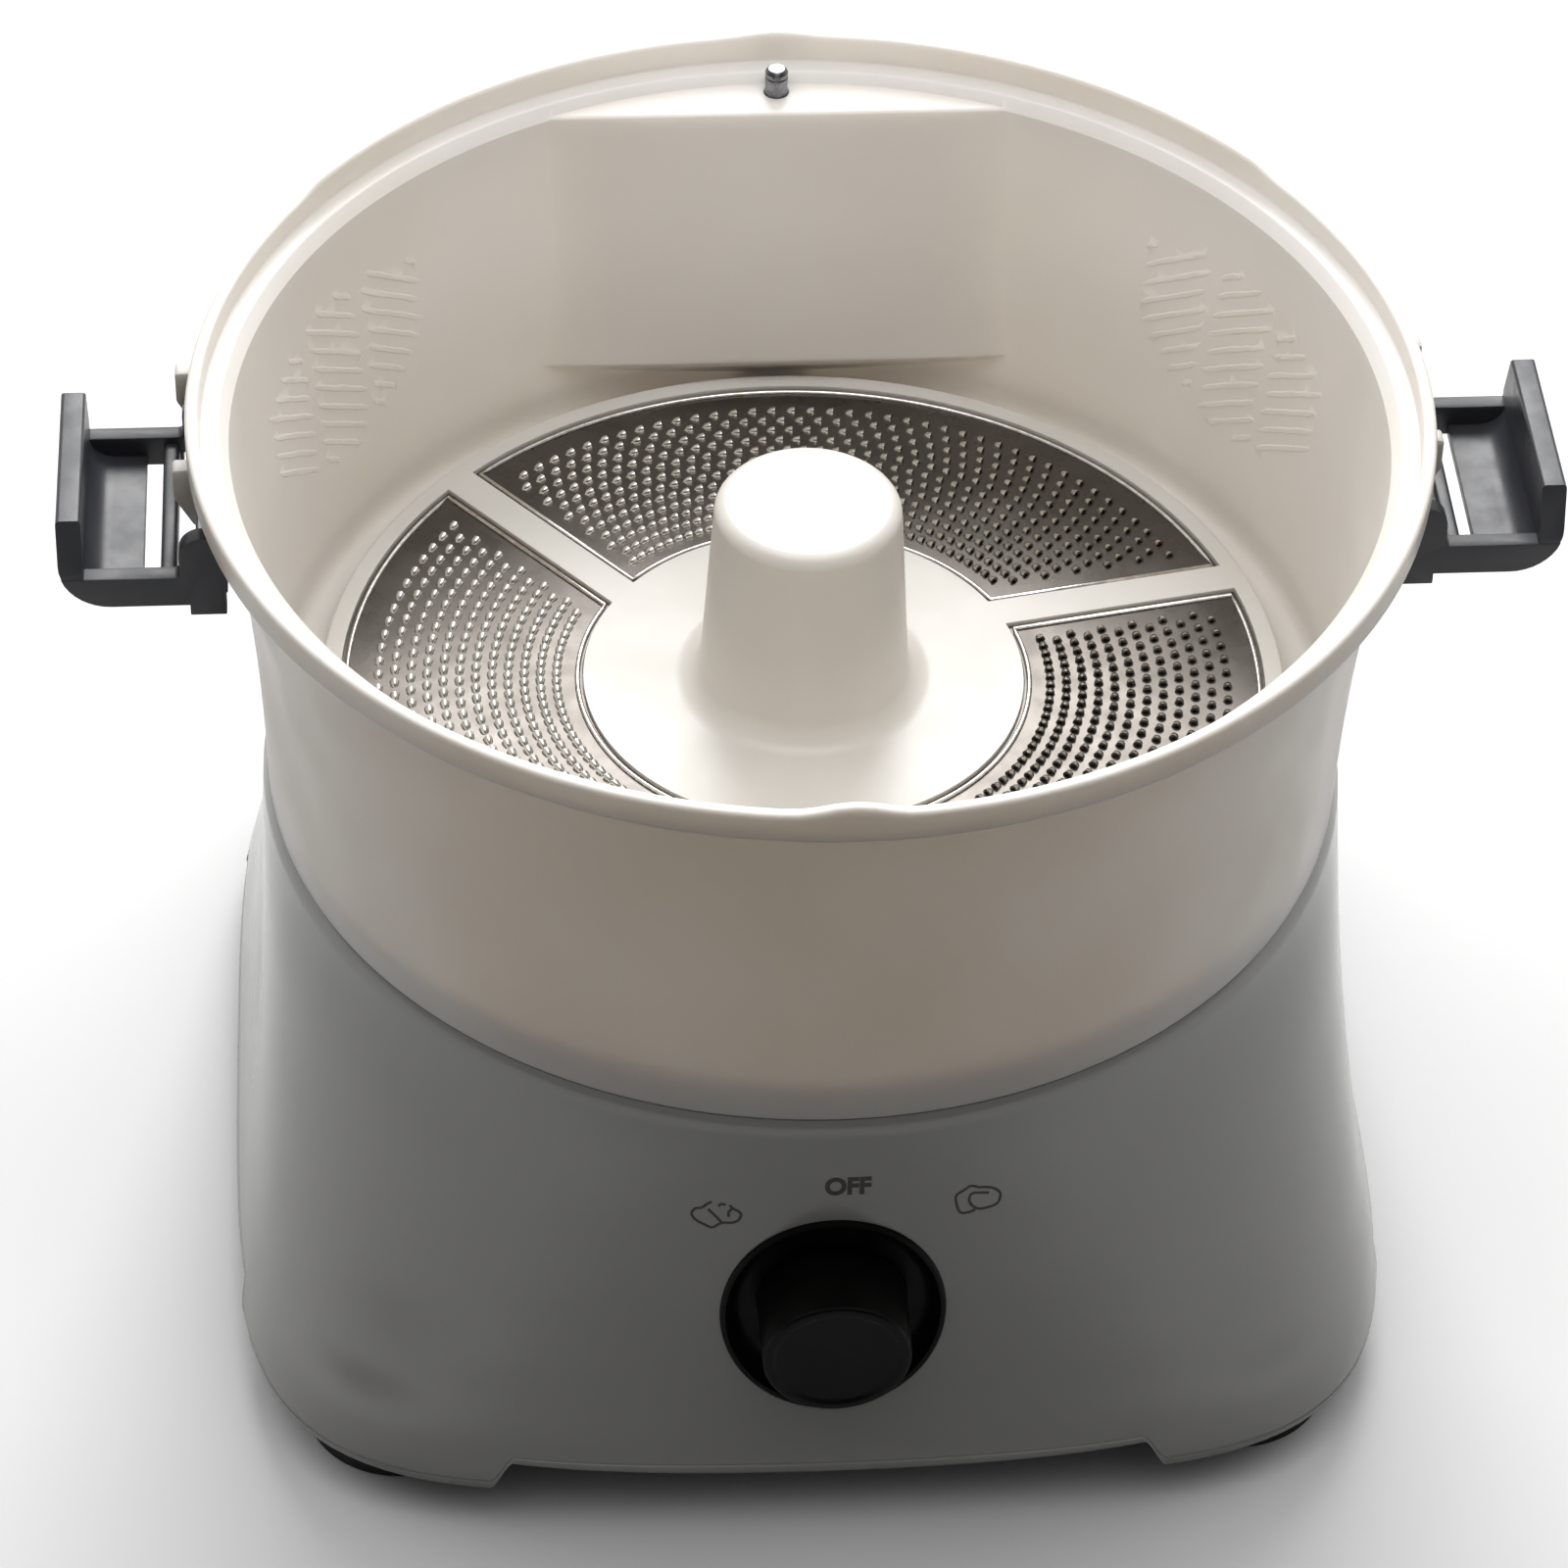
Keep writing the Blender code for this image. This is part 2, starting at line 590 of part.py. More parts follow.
def bowl_profile():
    """Closed section of the bowl: down the outside, across the floor and up the inside."""
    outer = [(LIP_RADIUS - LIP_ROUND, LIP_TOP), (LIP_RADIUS, LIP_TOP - LIP_ROUND),
             (LIP_RADIUS, COLLAR_BOTTOM)]
    outer += [(wall_radius(z), z) for z in wall_heights()]
    skirt = [(SKIRT_RADIUS, WALL_FOOT_Z), (SKIRT_RADIUS, SEAM_Z - SKIRT_DEPTH),
             (SKIRT_RADIUS - SKIRT_WALL, SEAM_Z - SKIRT_DEPTH), (SKIRT_RADIUS - SKIRT_WALL, FLOOR_BOTTOM)]
    chimney = [(CHIMNEY_BORE, FLOOR_BOTTOM), (CHIMNEY_BORE, CHIMNEY_TOP), (CHIMNEY_RADIUS, CHIMNEY_TOP),
               (CHIMNEY_RADIUS, FLOOR_TOP)]
    foot_radius = wall_radius(FLOOR_TOP) - BOWL_WALL
    round_middle = FLOOR_ROUND * ROUND_MIDDLE_SHARE
    round_top = FLOOR_TOP + FLOOR_ROUND
    inner = [(foot_radius - FLOOR_ROUND, FLOOR_TOP), (foot_radius - round_middle, FLOOR_TOP + round_middle),
             (foot_radius, round_top)]
    inner += [(wall_radius(z) - BOWL_WALL, z) for z in reversed(wall_heights()) if z > round_top]
    lip = [(LEDGE_RADIUS, LEDGE_Z), (LIP_INNER_RADIUS, LEDGE_Z), (LIP_INNER_RADIUS, LIP_TOP - LIP_ROUND),
           (LIP_INNER_RADIUS + LIP_ROUND, LIP_TOP)]
    return outer + skirt + chimney + inner + lip


def lip_rise(angle):
    """Height that the lip gains at an azimuth: front and rear bumps and the raised rear arc."""
    rise = 0.0
    for centre, height in ((-math.pi / 2, FRONT_BUMP_HEIGHT), (math.pi / 2, REAR_BUMP_HEIGHT)):
        share = abs(angle - centre) * LIP_RADIUS / BUMP_HALF_WIDTH
        if share < 1:
            rise += height * math.cos(share * math.pi / 2) ** 2
    into_arc = min(angle - REAR_ARC_START, REAR_ARC_END - angle) / REAR_ARC_EASE
    return rise + REAR_ARC_RAISE * min(max(into_arc, 0.0), 1.0)


def raised_lip_mesh():
    """Turned bowl with its lip's top edge lifted where the lip has bumps."""
    blank = turned("bowl_blank", bowl_profile(), steps=ROUND_STEPS, closed=True)
    mesh = evaluated_mesh(blank)
    bpy.data.objects.remove(blank)
    for vertex in mesh.vertices:
        if vertex.co.z > LIP_TOP - 2 * LIP_ROUND:
            vertex.co.z += lip_rise(math.atan2(vertex.co.y, vertex.co.x))
    shade_round(mesh)
    return mesh


def panel_y(z, half_width):
    """Y at which a flat panel of this half width meets the inside of the wall at a height."""
    radius = wall_radius(z) - BOWL_WALL
    return math.sqrt(radius * radius - half_width * half_width)


def pocket_block():
    """Body of the rear pocket: a flat panel that leans with the wall, and all that lies behind it."""
    foot_z = DISC_TOP + POCKET_FOOT_LIFT
    top_y = panel_y(POCKET_SHELF_Z, POCKET_HALF_WIDTH)
    foot_y = panel_y(foot_z, POCKET_FOOT_HALF_WIDTH)
    back_y = LIP_RADIUS
    outline = [(top_y, POCKET_SHELF_Z), (foot_y, foot_z), (back_y, foot_z - back_y + foot_y),
               (back_y, POCKET_SHELF_Z)]
    block = extruded("pocket_block", [outline], 2 * LIP_RADIUS, rotation=(math.pi / 2, 0, math.pi / 2))
    heights = [LEDGE_Z] + [z for z in wall_heights() if FLOOR_BOTTOM < z < LEDGE_Z]
    heights.append(FLOOR_BOTTOM - OVERRUN)
    skin = [(wall_radius(min(z, COLLAR_BOTTOM)) - BOWL_WALL / 2, z) for z in heights]
    limit = turned("pocket_limit", [(0, heights[0])] + skin + [(0, heights[-1])], steps=ROUND_STEPS)
    return boolean(block, limit, "INTERSECT")


def rod_channel():
    """Outside channel that guides the interlock rod down the back of the bowl."""
    inner_y = WALL_FOOT_RADIUS - BOWL_WALL
    outline = rounded_rectangle(-CHANNEL_HALF_WIDTH, CHANNEL_HALF_WIDTH, inner_y, CHANNEL_BACK_Y,
                                CHANNEL_ROUND)
    ends = (WALL_FOOT_Z, POCKET_SHELF_Z - CHANNEL_SINK)
    return lofted("rod_channel", [[(x, y, z) for x, y in outline] for z in ends])


def lug(name, side, centre_y):
    """One ear beside a latch's knuckle, from the bowl's wall out past the pin."""
    low = -LUG_BOTTOM - LUG_TIP

    def wall_x(rise):
        """Place of the middle of the bowl's wall behind the lug, measured from the hinge."""
        radius = wall_radius(HINGE_Z + rise) - BOWL_WALL / 2
        return math.sqrt(radius * radius - centre_y * centre_y) - HINGE_X

    outline = [(wall_x(LUG_TOP), LUG_TOP), (wall_x(low), low), (LUG_TIP, -LUG_BOTTOM),
               (LUG_OUTER, LUG_SHOULDER), (LUG_OUTER, LUG_TOP)]
    outline = [(side * x, z) for x, z in outline]
    return extruded(name, [outline], LUG_THICKNESS, location=(side * HINGE_X, centre_y, HINGE_Z),
                    rotation=(math.pi / 2, 0, 0))


REAR_LUG_Y = LATCH_HALF_LENGTH + GAP + LUG_THICKNESS / 2


def make_bowl():
    """Bowl with its rear pocket, rod channel and latch lugs, bored for the rod and the pins."""
    bowl = add_object("bowl", raised_lip_mesh(), BOWL_PLASTIC)
    boolean(bowl, pocket_block(), "UNION")
    boolean(bowl, rod_channel(), "UNION")
    for side, word in ((1, "right"), (-1, "left")):
        boolean(bowl, lug(f"rear_lug_{word}", side, REAR_LUG_Y), "UNION")
        boolean(bowl, lug(f"front_lug_{word}", side, FRONT_LUG_Y), "UNION")
        hole = cylinder(f"lug_hole_{word}", LATCH_PIN_RADIUS + BORE_GAP,
                        (side * HINGE_X, -LATCH_HALF_LENGTH, HINGE_Z),
                        (side * HINGE_X, REAR_LUG_Y + LUG_THICKNESS, HINGE_Z), steps=TINY_STEPS)
        boolean(bowl, hole, "DIFFERENCE")
    guide = cylinder("rod_guide", ROD_RADIUS + BORE_GAP, (0, ROD_Y, WALL_FOOT_Z - OVERRUN),
                     (0, ROD_Y, POCKET_SHELF_Z + OVERRUN), steps=TINY_STEPS)
    chamber = cylinder("spring_chamber", SPRING_CHAMBER_RADIUS, (0, ROD_Y, CHAMBER_BOTTOM),
                       (0, ROD_Y, CHAMBER_TOP))
    boolean(bowl, guide, "DIFFERENCE")
    boolean(bowl, chamber, "DIFFERENCE")
    return bowl


def make_latch_pin(word, side):
    """Steel pin through both lugs and both knuckles of a latch."""
    start = -LATCH_HALF_LENGTH - GAP
    end = REAR_LUG_Y + LUG_THICKNESS / 2 + GAP
    return cylinder(f"latch_pin_{word}", LATCH_PIN_RADIUS, (side * HINGE_X, start, HINGE_Z),
                    (side * HINGE_X, end, HINGE_Z), STEEL, steps=TINY_STEPS)


# Latches, with outlines measured outwards and upwards from the hinge axis
def latch_tray_outline():
    """Floor and upright outer wall of a latch, joined by a round corner."""
    outer = arc((LATCH_OUTER - LATCH_CORNER_ROUND, LATCH_CORNER_ROUND - LATCH_BOTTOM), LATCH_CORNER_ROUND,
                -math.pi / 2, 0, 5)
    inner_x = LATCH_OUTER - LATCH_WALL - LATCH_INNER_ROUND
    inner_z = LATCH_FLOOR + LATCH_INNER_ROUND - LATCH_BOTTOM
    inner = arc((inner_x, inner_z), LATCH_INNER_ROUND, 0, -math.pi / 2, 4)
    top = [(LATCH_OUTER, LATCH_WALL_TOP), (LATCH_OUTER - LATCH_WALL, LATCH_WALL_TOP)]
    floor = [(LATCH_FLOOR_START, LATCH_FLOOR - LATCH_BOTTOM), (LATCH_FLOOR_START, -LATCH_BOTTOM)]
    return outer + top + inner + floor


def latch_arm_outline(with_toe):
    """Side arm from the knuckle's round end and block out to the corner of the tray."""
    knuckle = arc((0, 0), KNUCKLE_RADIUS, math.pi, 0, 7)
    corner = arc((LATCH_OUTER - LATCH_CORNER_ROUND, LATCH_CORNER_ROUND - LATCH_BOTTOM), LATCH_CORNER_ROUND,
                 0, -math.pi / 2, 5)
    top = [(KNUCKLE_RADIUS, -LATCH_ARM_TOP), (LATCH_OUTER, -LATCH_ARM_TOP)]
    corner = [point for point in corner if point[1] < -LATCH_ARM_TOP]
    block = [(-KNUCKLE_RADIUS, -KNUCKLE_BLOCK_BOTTOM)]
    toe = [(TOE_OUTER, -LATCH_BOTTOM), (TOE_OUTER, -TOE_BOTTOM), (-TOE_INNER, -TOE_BOTTOM),
           (-TOE_INNER, -KNUCKLE_BLOCK_BOTTOM)]
    plain = [(KNUCKLE_RADIUS, -LATCH_BOTTOM), (KNUCKLE_RADIUS, -KNUCKLE_BLOCK_BOTTOM)]
    return knuckle + top + corner + (toe if with_toe else plain) + block


def make_latch(word, side):
    """Latch, lying open: tray, two side arms, inner bar and knuckles on the hinge axis."""
    place = (side * HINGE_X, 0, HINGE_Z)
    flat = (math.pi / 2, 0, 0)
    tray = [(side * x, z) for x, z in latch_tray_outline()]
    latch = extruded(f"latch_{word}", [tray], 2 * LATCH_HALF_LENGTH, LATCH_PLASTIC, place, flat)
    arm_y = LATCH_HALF_LENGTH - LATCH_ARM_THICKNESS / 2
    for end, with_toe in ((-1, True), (1, False)):
        outline = [(side * x, z) for x, z in latch_arm_outline(with_toe)]
        arm = extruded(f"latch_arm_{word}_{end}", [outline], LATCH_ARM_THICKNESS,
                       location=(side * HINGE_X, end * arm_y, HINGE_Z), rotation=flat)
        boolean(latch, arm, "UNION")
    bar_x = (LATCH_BAR_START + LATCH_BAR_END) / 2
    bar = box(f"latch_bar_{word}",
              (LATCH_BAR_END - LATCH_BAR_START, 2 * LATCH_HALF_LENGTH - LATCH_ARM_THICKNESS,
               LATCH_BOTTOM - LATCH_BAR_TOP),
              (side * (HINGE_X + bar_x), 0, HINGE_Z - (LATCH_BOTTOM + LATCH_BAR_TOP) / 2))
    boolean(latch, bar, "UNION")
    rise = LATCH_WALL_TOP + LATCH_ARM_TOP
    lean = math.atan2(LATCH_WALL_TAPER, rise)
    for end in (-1, 1):
        reach = rise + OVERRUN
        middle_y = LATCH_HALF_LENGTH - LATCH_WALL_TAPER / 2 + (reach / 2) * math.cos(lean)
        middle_z = HINGE_Z + (LATCH_WALL_TOP - LATCH_ARM_TOP) / 2 + (reach / 2) * math.sin(lean)
        taper = box(f"latch_taper_{word}_{end}", (LATCH_CORNER_ROUND, reach, 2 * reach),
                    (side * (HINGE_X + LATCH_OUTER - LATCH_WALL / 2), end * middle_y, middle_z),
                    rotation=(end * lean, 0, 0))
        boolean(latch, taper, "DIFFERENCE")
    bore = cylinder(f"latch_bore_{word}", LATCH_PIN_RADIUS + BORE_GAP,
                    (side * HINGE_X, -LATCH_HALF_LENGTH - OVERRUN, HINGE_Z),
                    (side * HINGE_X, LATCH_HALF_LENGTH + OVERRUN, HINGE_Z), steps=TINY_STEPS)
    boolean(latch, bore, "DIFFERENCE")
    return latch


# Interlock rod and its spring
def make_interlock_rod():
    """Steel rod that the lid presses down, with the collar that its spring lifts."""
    collar_top = CHAMBER_TOP - GAP
    collar_bottom = collar_top - ROD_COLLAR_THICKNESS
    profile = [(0, ROD_TOP), (ROD_RADIUS - ROD_DOME, ROD_TOP), (ROD_RADIUS, ROD_TOP - ROD_DOME),
               (ROD_RADIUS, collar_top), (ROD_COLLAR_RADIUS, collar_top), (ROD_COLLAR_RADIUS, collar_bottom),
               (ROD_RADIUS, collar_bottom), (ROD_RADIUS, ROD_BOTTOM), (0, ROD_BOTTOM)]
    return turned("interlock_rod", profile, STEEL, steps=TINY_STEPS, location=(0, ROD_Y, 0))


def make_interlock_spring():
    """Compression spring around the rod, one tube along a helix."""
    coil_radius = SPRING_CHAMBER_RADIUS - GAP - SPRING_WIRE_RADIUS
    start = CHAMBER_BOTTOM + GAP + SPRING_WIRE_RADIUS
    climb = SPRING_LENGTH - 2 * SPRING_WIRE_RADIUS
    count = SPRING_TURNS * SPRING_POINTS_PER_TURN
    curve = bpy.data.curves.new("interlock_spring", "CURVE")
    curve.dimensions = "3D"
    curve.bevel_depth = SPRING_WIRE_RADIUS
    curve.bevel_resolution = 0
    curve.use_fill_caps = True
    spline = curve.splines.new("POLY")
    spline.points.add(count)
    for i, point in enumerate(spline.points):
        x, y = polar(coil_radius, 2 * math.pi * i / SPRING_POINTS_PER_TURN)
        point.co = (x, y, start + climb * i / count, 1)
    spring = bpy.data.objects.new("interlock_spring", curve)
    spring.location = (0, ROD_Y, 0)
    spring.parent = AXIS
    curve.materials.append(STEEL)
    PARTS.objects.link(spring)
    return spring


# Grater disc
def arm_point(index, offset, radius):
    """Plan point on a line beside one arm, at a radius from the axis."""
    azimuth = ARM_AZIMUTH + index * 2 * math.pi / ARM_COUNT
    along = polar(1, azimuth - ARM_SWEEP)
    across = Vector((-along.y, along.x))
    start = polar(PLATE_RADIUS, azimuth) + across * offset
    lean = start.dot(along)
    return start + along * (math.sqrt(lean * lean - start.dot(start) + radius * radius) - lean)


def bay_outline(index, inset):
    """Outline of the bay between two arms, drawn in by an inset on all sides."""
    inner, outer = PLATE_RADIUS + inset, DISC_RADIUS - DISC_RIM_WIDTH - inset
    offset = ARM_WIDTH / 2 + inset
    starts = [arm_point(index, offset, radius) for radius in (inner, outer)]
    ends = [arm_point(index + 1, -offset, radius) for radius in (outer, inner)]
    angles = [math.atan2(point.y, point.x) for point in starts + ends]
    for i in range(1, 4):
        while angles[i] < angles[0] - math.pi / 2:
            angles[i] += 2 * math.pi
    rim = arc((0, 0), outer, angles[1], angles[2], BAY_ARC_POINTS)
    plate = arc((0, 0), inner, angles[3], angles[0], BAY_ARC_POINTS)
    return rim + plate


def hub_profile():
    """Half section of the disc and its hollow hub, from the hub's top round to its socket."""
    top_middle = HUB_TOP_ROUND * ROUND_MIDDLE_SHARE
    foot_middle = HUB_FOOT_ROUND * ROUND_MIDDLE_SHARE
    hub = [(0, HUB_TOP), (HUB_TOP_RADIUS - HUB_TOP_ROUND, HUB_TOP),
           (HUB_TOP_RADIUS - top_middle, HUB_TOP - top_middle), (HUB_TOP_RADIUS, HUB_TOP - HUB_TOP_ROUND)]
    fillet = [(HUB_FOOT_RADIUS, DISC_TOP + HUB_FOOT_ROUND),
              (HUB_FOOT_RADIUS + foot_middle, DISC_TOP + foot_middle),
              (HUB_FOOT_RADIUS + HUB_FOOT_ROUND, DISC_TOP)]
    rim = [(DISC_RADIUS - LIP_ROUND, DISC_TOP), (DISC_RADIUS, DISC_TOP - LIP_ROUND),
           (DISC_RADIUS, DISC_BOTTOM)]
    hollow = [(HUB_FOOT_RADIUS - HUB_WALL, DISC_BOTTOM), (HUB_TOP_RADIUS - HUB_WALL, SOCKET_BOTTOM),
              (0, SOCKET_BOTTOM)]
    return hub + fillet + rim + hollow


def make_disc_carrier():
    """White disc and hub in one moulding, with three bays for the inserts and a hexagonal socket."""
    carrier = turned("disc_carrier", hub_profile(), DISC_PLASTIC, steps=DISC_STEPS)
    for index in range(ARM_COUNT):
        bay = extruded(f"bay_{index + 1}", [bay_outline(index, 0.0)], 2 * POCKET_DEPTH,
                       location=(0, 0, DISC_TOP))
        boolean(carrier, bay, "DIFFERENCE")
    corner_radius = (DOG_ACROSS_FLATS / 2 + BORE_GAP) / math.cos(math.pi / 6)
    socket = cylinder("hub_socket", corner_radius, (0, 0, SOCKET_BOTTOM - OVERRUN), (0, 0, SOCKET_TOP),
                      steps=6)
    return boolean(carrier, socket, "DIFFERENCE")


def tooth_places(index):
    """Polar places of the teeth of one insert, in staggered rows between its arms."""
    first = PLATE_RADIUS + TOOTH_MARGIN
    last = DISC_RADIUS - DISC_RIM_WIDTH - TOOTH_RIM_MARGIN
    rows = int((last - first) / TOOTH_ROW_PITCH) + 1
    offset = ARM_WIDTH / 2 + TOOTH_LENGTH
    places = []
    for row in range(rows):
        radius = first + row * TOOTH_ROW_PITCH
        start = arm_point(index, offset, radius)
        end = arm_point(index + 1, -offset, radius)
        from_angle = math.atan2(start.y, start.x)
        span = (math.atan2(end.y, end.x) - from_angle) % (2 * math.pi)
        count = int(span * radius / TOOTH_PITCH)
        row_start = ROW_START_SHARES[row % 2]
        places += [(radius, from_angle + span * (i + row_start) / count) for i in range(count)]
    return places


def teeth_mesh(index):
    """All teeth of an insert: three-sided points that lean until one face stands upright."""
    mesh = bpy.data.meshes.new(f"teeth_{index + 1}")
    shape = bmesh.new()
    # A three-sided cone of radius 1 is three halves long and the root of three wide
    stretch = TOOTH_LENGTH / (3 / 2)
    spread = TOOTH_WIDTH / math.sqrt(3)
    for radius, angle in tooth_places(index):
        cone = bmesh.ops.create_cone(shape, cap_ends=True, segments=3, radius1=1, radius2=0, depth=1)
        outward = polar(1, angle)
        onward = Vector((-outward.y, outward.x))
        for vertex in cone["verts"]:
            height = vertex.co.z + 1 / 2
            along = (vertex.co.x + height - 1) * stretch
            spot = polar(radius, angle) + onward * along + outward * vertex.co.y * spread
            vertex.co = (spot.x, spot.y, (TOOTH_HEIGHT + TOOTH_ROOT) * height - TOOTH_ROOT)
    bmesh.ops.recalc_face_normals(shape, faces=shape.faces)
    shape.to_mesh(mesh)
    shape.free()
    return mesh


def make_insert(index):
    """Stainless grater insert in one bay, with raised cutting teeth."""
    bottom = WEB_TOP + GAP
    middle = bottom + INSERT_THICKNESS / 2
    insert = extruded(f"grater_insert_{index + 1}", [bay_outline(index, GAP)], INSERT_THICKNESS, STEEL,
                      location=(0, 0, middle))
    top = bottom + INSERT_THICKNESS
    teeth = add_object(f"teeth_{index + 1}", teeth_mesh(index), None, (0, 0, top), helper=True)
    return boolean(insert, teeth, "UNION")


# Base housing and its openings
def base_rings(low, high, inset):
    """Rings of the base's outline at each section between two heights."""
    heights = {BASE_BOTTOM + row[0] * (SEAM_Z - BASE_BOTTOM) for row in BASE_SECTION_SHARES}
    heights = sorted(z for z in heights | {low, high} if low <= z <= high)
    rings = []
    for z in heights:
        angles = [2 * math.pi * i / ROUND_STEPS for i in range(ROUND_STEPS)]
        plan = [polar(base_radius(angle, z, inset), angle) for angle in angles]
        rings.append([(point.x, point.y, z) for point in plan])
    return rings


def notch_outline():
    """Low notch in the bottom edge, with S-shaped ends."""
    right = []
    for i in range(NOTCH_EASE_POINTS):
        share = i / (NOTCH_EASE_POINTS - 1)
        x = NOTCH_HALF_LENGTH - NOTCH_EASE * share
        right.append((x, NOTCH_HEIGHT * (1 - math.cos(math.pi * share)) / 2))
    left = [(-x, z) for x, z in reversed(right)]
    return [(NOTCH_HALF_LENGTH, -OVERRUN)] + right + left + [(-NOTCH_HALF_LENGTH, -OVERRUN)]


def switch_tower():
    """Upright block at the back of the base that holds the safety switch."""
    inner_y = COLLAR_BORE - SWITCH_TOWER_WALL
    outline = rounded_rectangle(-SWITCH_TOWER_HALF_WIDTH, SWITCH_TOWER_HALF_WIDTH, inner_y, CHANNEL_BACK_Y,
                                CHANNEL_ROUND)
    return extruded("switch_tower", [outline], SEAM_Z - SWITCH_TOWER_FOOT,
                    location=(0, 0, (SEAM_Z + SWITCH_TOWER_FOOT) / 2))


def screw_rib(number, side_x, side_y):
    """Upright rib from a screw boss out to the middle of the housing's wall."""
    low = PLATE_TOP + GAP
    high = low + SCREW_BOSS_HEIGHT
    outline = [(SCREW_BOSS_X + SCREW_RADIUS + GAP, low)]
    for z in (low, (low + high) / 2, high):
        outline.append((-base_front_y(SCREW_BOSS_Y, z) - BASE_WALL / 2, z))
    outline.append((SCREW_BOSS_X + SCREW_RADIUS + GAP, high))
    return extruded(f"screw_rib_{number}", [[(side_x * x, z) for x, z in outline]], SCREW_RIB_THICKNESS,
                    location=(0, side_y * SCREW_BOSS_Y, 0), rotation=(math.pi / 2, 0, 0))


def make_base_housing():
    """Grey housing: lofted shell, sunk deck with the spindle tower, bosses, notches and holes."""
    housing = lofted("base_housing", base_rings(BASE_BOTTOM, SEAM_Z, 0.0), BASE_PLASTIC)
    boolean(housing, switch_tower(), "UNION")
    inside = lofted("base_inside", base_rings(BASE_BOTTOM - OVERRUN, DECK_BOTTOM, BASE_WALL))
    boolean(housing, inside, "DIFFERENCE")
    boolean(housing, cylinder("deck_recess", COLLAR_BORE, (0, 0, DECK_TOP), (0, 0, SEAM_Z + OVERRUN),
                              steps=ROUND_STEPS), "DIFFERENCE")
    boolean(housing, cylinder("spindle_tower", SPINDLE_TOWER_RADIUS, (0, 0, DECK_BOTTOM),
                              (0, 0, SPINDLE_TOWER_TOP)), "UNION")
    boolean(housing, cylinder("spindle_tower_bore", BUSH_RADIUS + BORE_GAP, (0, 0, DECK_BOTTOM - OVERRUN),
                              (0, 0, SPINDLE_TOWER_TOP + OVERRUN)), "DIFFERENCE")
    low = PLATE_TOP + GAP
    for i, (side_x, side_y) in enumerate(((1, 1), (1, -1), (-1, 1), (-1, -1))):
        x, y = side_x * SCREW_BOSS_X, side_y * SCREW_BOSS_Y
        boss = cylinder(f"screw_boss_{i + 1}", SCREW_BOSS_RADIUS, (x, y, low),
                        (x, y, low + SCREW_BOSS_HEIGHT), steps=TINY_STEPS)
        hole = cylinder(f"screw_hole_{i + 1}", SCREW_RADIUS + BORE_GAP, (x, y, low - OVERRUN),
                        (x, y, low + SCREW_LENGTH), steps=TINY_STEPS)
        boolean(housing, screw_rib(i + 1, side_x, side_y), "UNION")
        boolean(housing, boss, "UNION")
        boolean(housing, hole, "DIFFERENCE")
    for name, turn in (("notch_front_back", 0), ("notch_left_right", math.pi / 2)):
        notch = extruded(name, [notch_outline()], 2 * BASE_HALF_SIDE + 2 * OVERRUN,
                         location=(0, 0, BASE_BOTTOM), rotation=(math.pi / 2, 0, turn))
        boolean(housing, notch, "DIFFERENCE")
    boolean(housing, cylinder("dish_hole", DISH_RADIUS - DISH_LIP_WIDTH + BORE_GAP, (0, KNOB_FACE_Y, KNOB_Z),
                              (0, DISH_BACK_Y, KNOB_Z), steps=DISH_STEPS), "DIFFERENCE")
    boolean(housing, cylinder("gland_hole", GLAND_RADIUS + BORE_GAP,
                              (GLAND_X, GLAND_FACE_Y - GLAND_TAIL, GLAND_Z),
                              (GLAND_X, GLAND_END_Y, GLAND_Z)), "DIFFERENCE")
    cavity_y = COLLAR_BORE - 2 * SWITCH_TOWER_WALL
    cavity = box("safety_cavity",
                 (2 * (SWITCH_TOWER_HALF_WIDTH - SWITCH_TOWER_WALL), CHANNEL_BACK_Y - CHANNEL_WALL - cavity_y,
                  DECK_BOTTOM - SWITCH_TOWER_FOOT - SWITCH_TOWER_WALL),
                 (0, (CHANNEL_BACK_Y - CHANNEL_WALL + cavity_y) / 2,
                  (DECK_BOTTOM + SWITCH_TOWER_FOOT + SWITCH_TOWER_WALL) / 2))
    boolean(housing, cavity, "DIFFERENCE")
    boolean(housing, cylinder("safety_hole", ROD_RADIUS + BORE_GAP, (0, ROD_Y, DECK_BOTTOM - OVERRUN),
                              (0, ROD_Y, SEAM_Z + OVERRUN), steps=TINY_STEPS), "DIFFERENCE")
    return housing


def board_post_places():
    """Plan places of the four posts under the control board."""
    half_x = BOARD_WIDTH / 2 - BOARD_POST_INSET
    half_y = BOARD_LENGTH / 2 - BOARD_POST_INSET
    return [(BOARD_X + side_x * half_x, side_y * half_y) for side_x in (-1, 1) for side_y in (-1, 1)]


def gear_post_places():
    """Plan places of the four posts that carry the gear plate."""
    return [(x, y) for x in (-GEAR_PLATE_LEFT + GEAR_PLATE_ROUND, GEAR_PLATE_RIGHT - GEAR_PLATE_ROUND)
            for y in (-GEAR_PLATE_FRONT + GEAR_PLATE_ROUND, GEAR_PLATE_BACK - GEAR_PLATE_ROUND)]


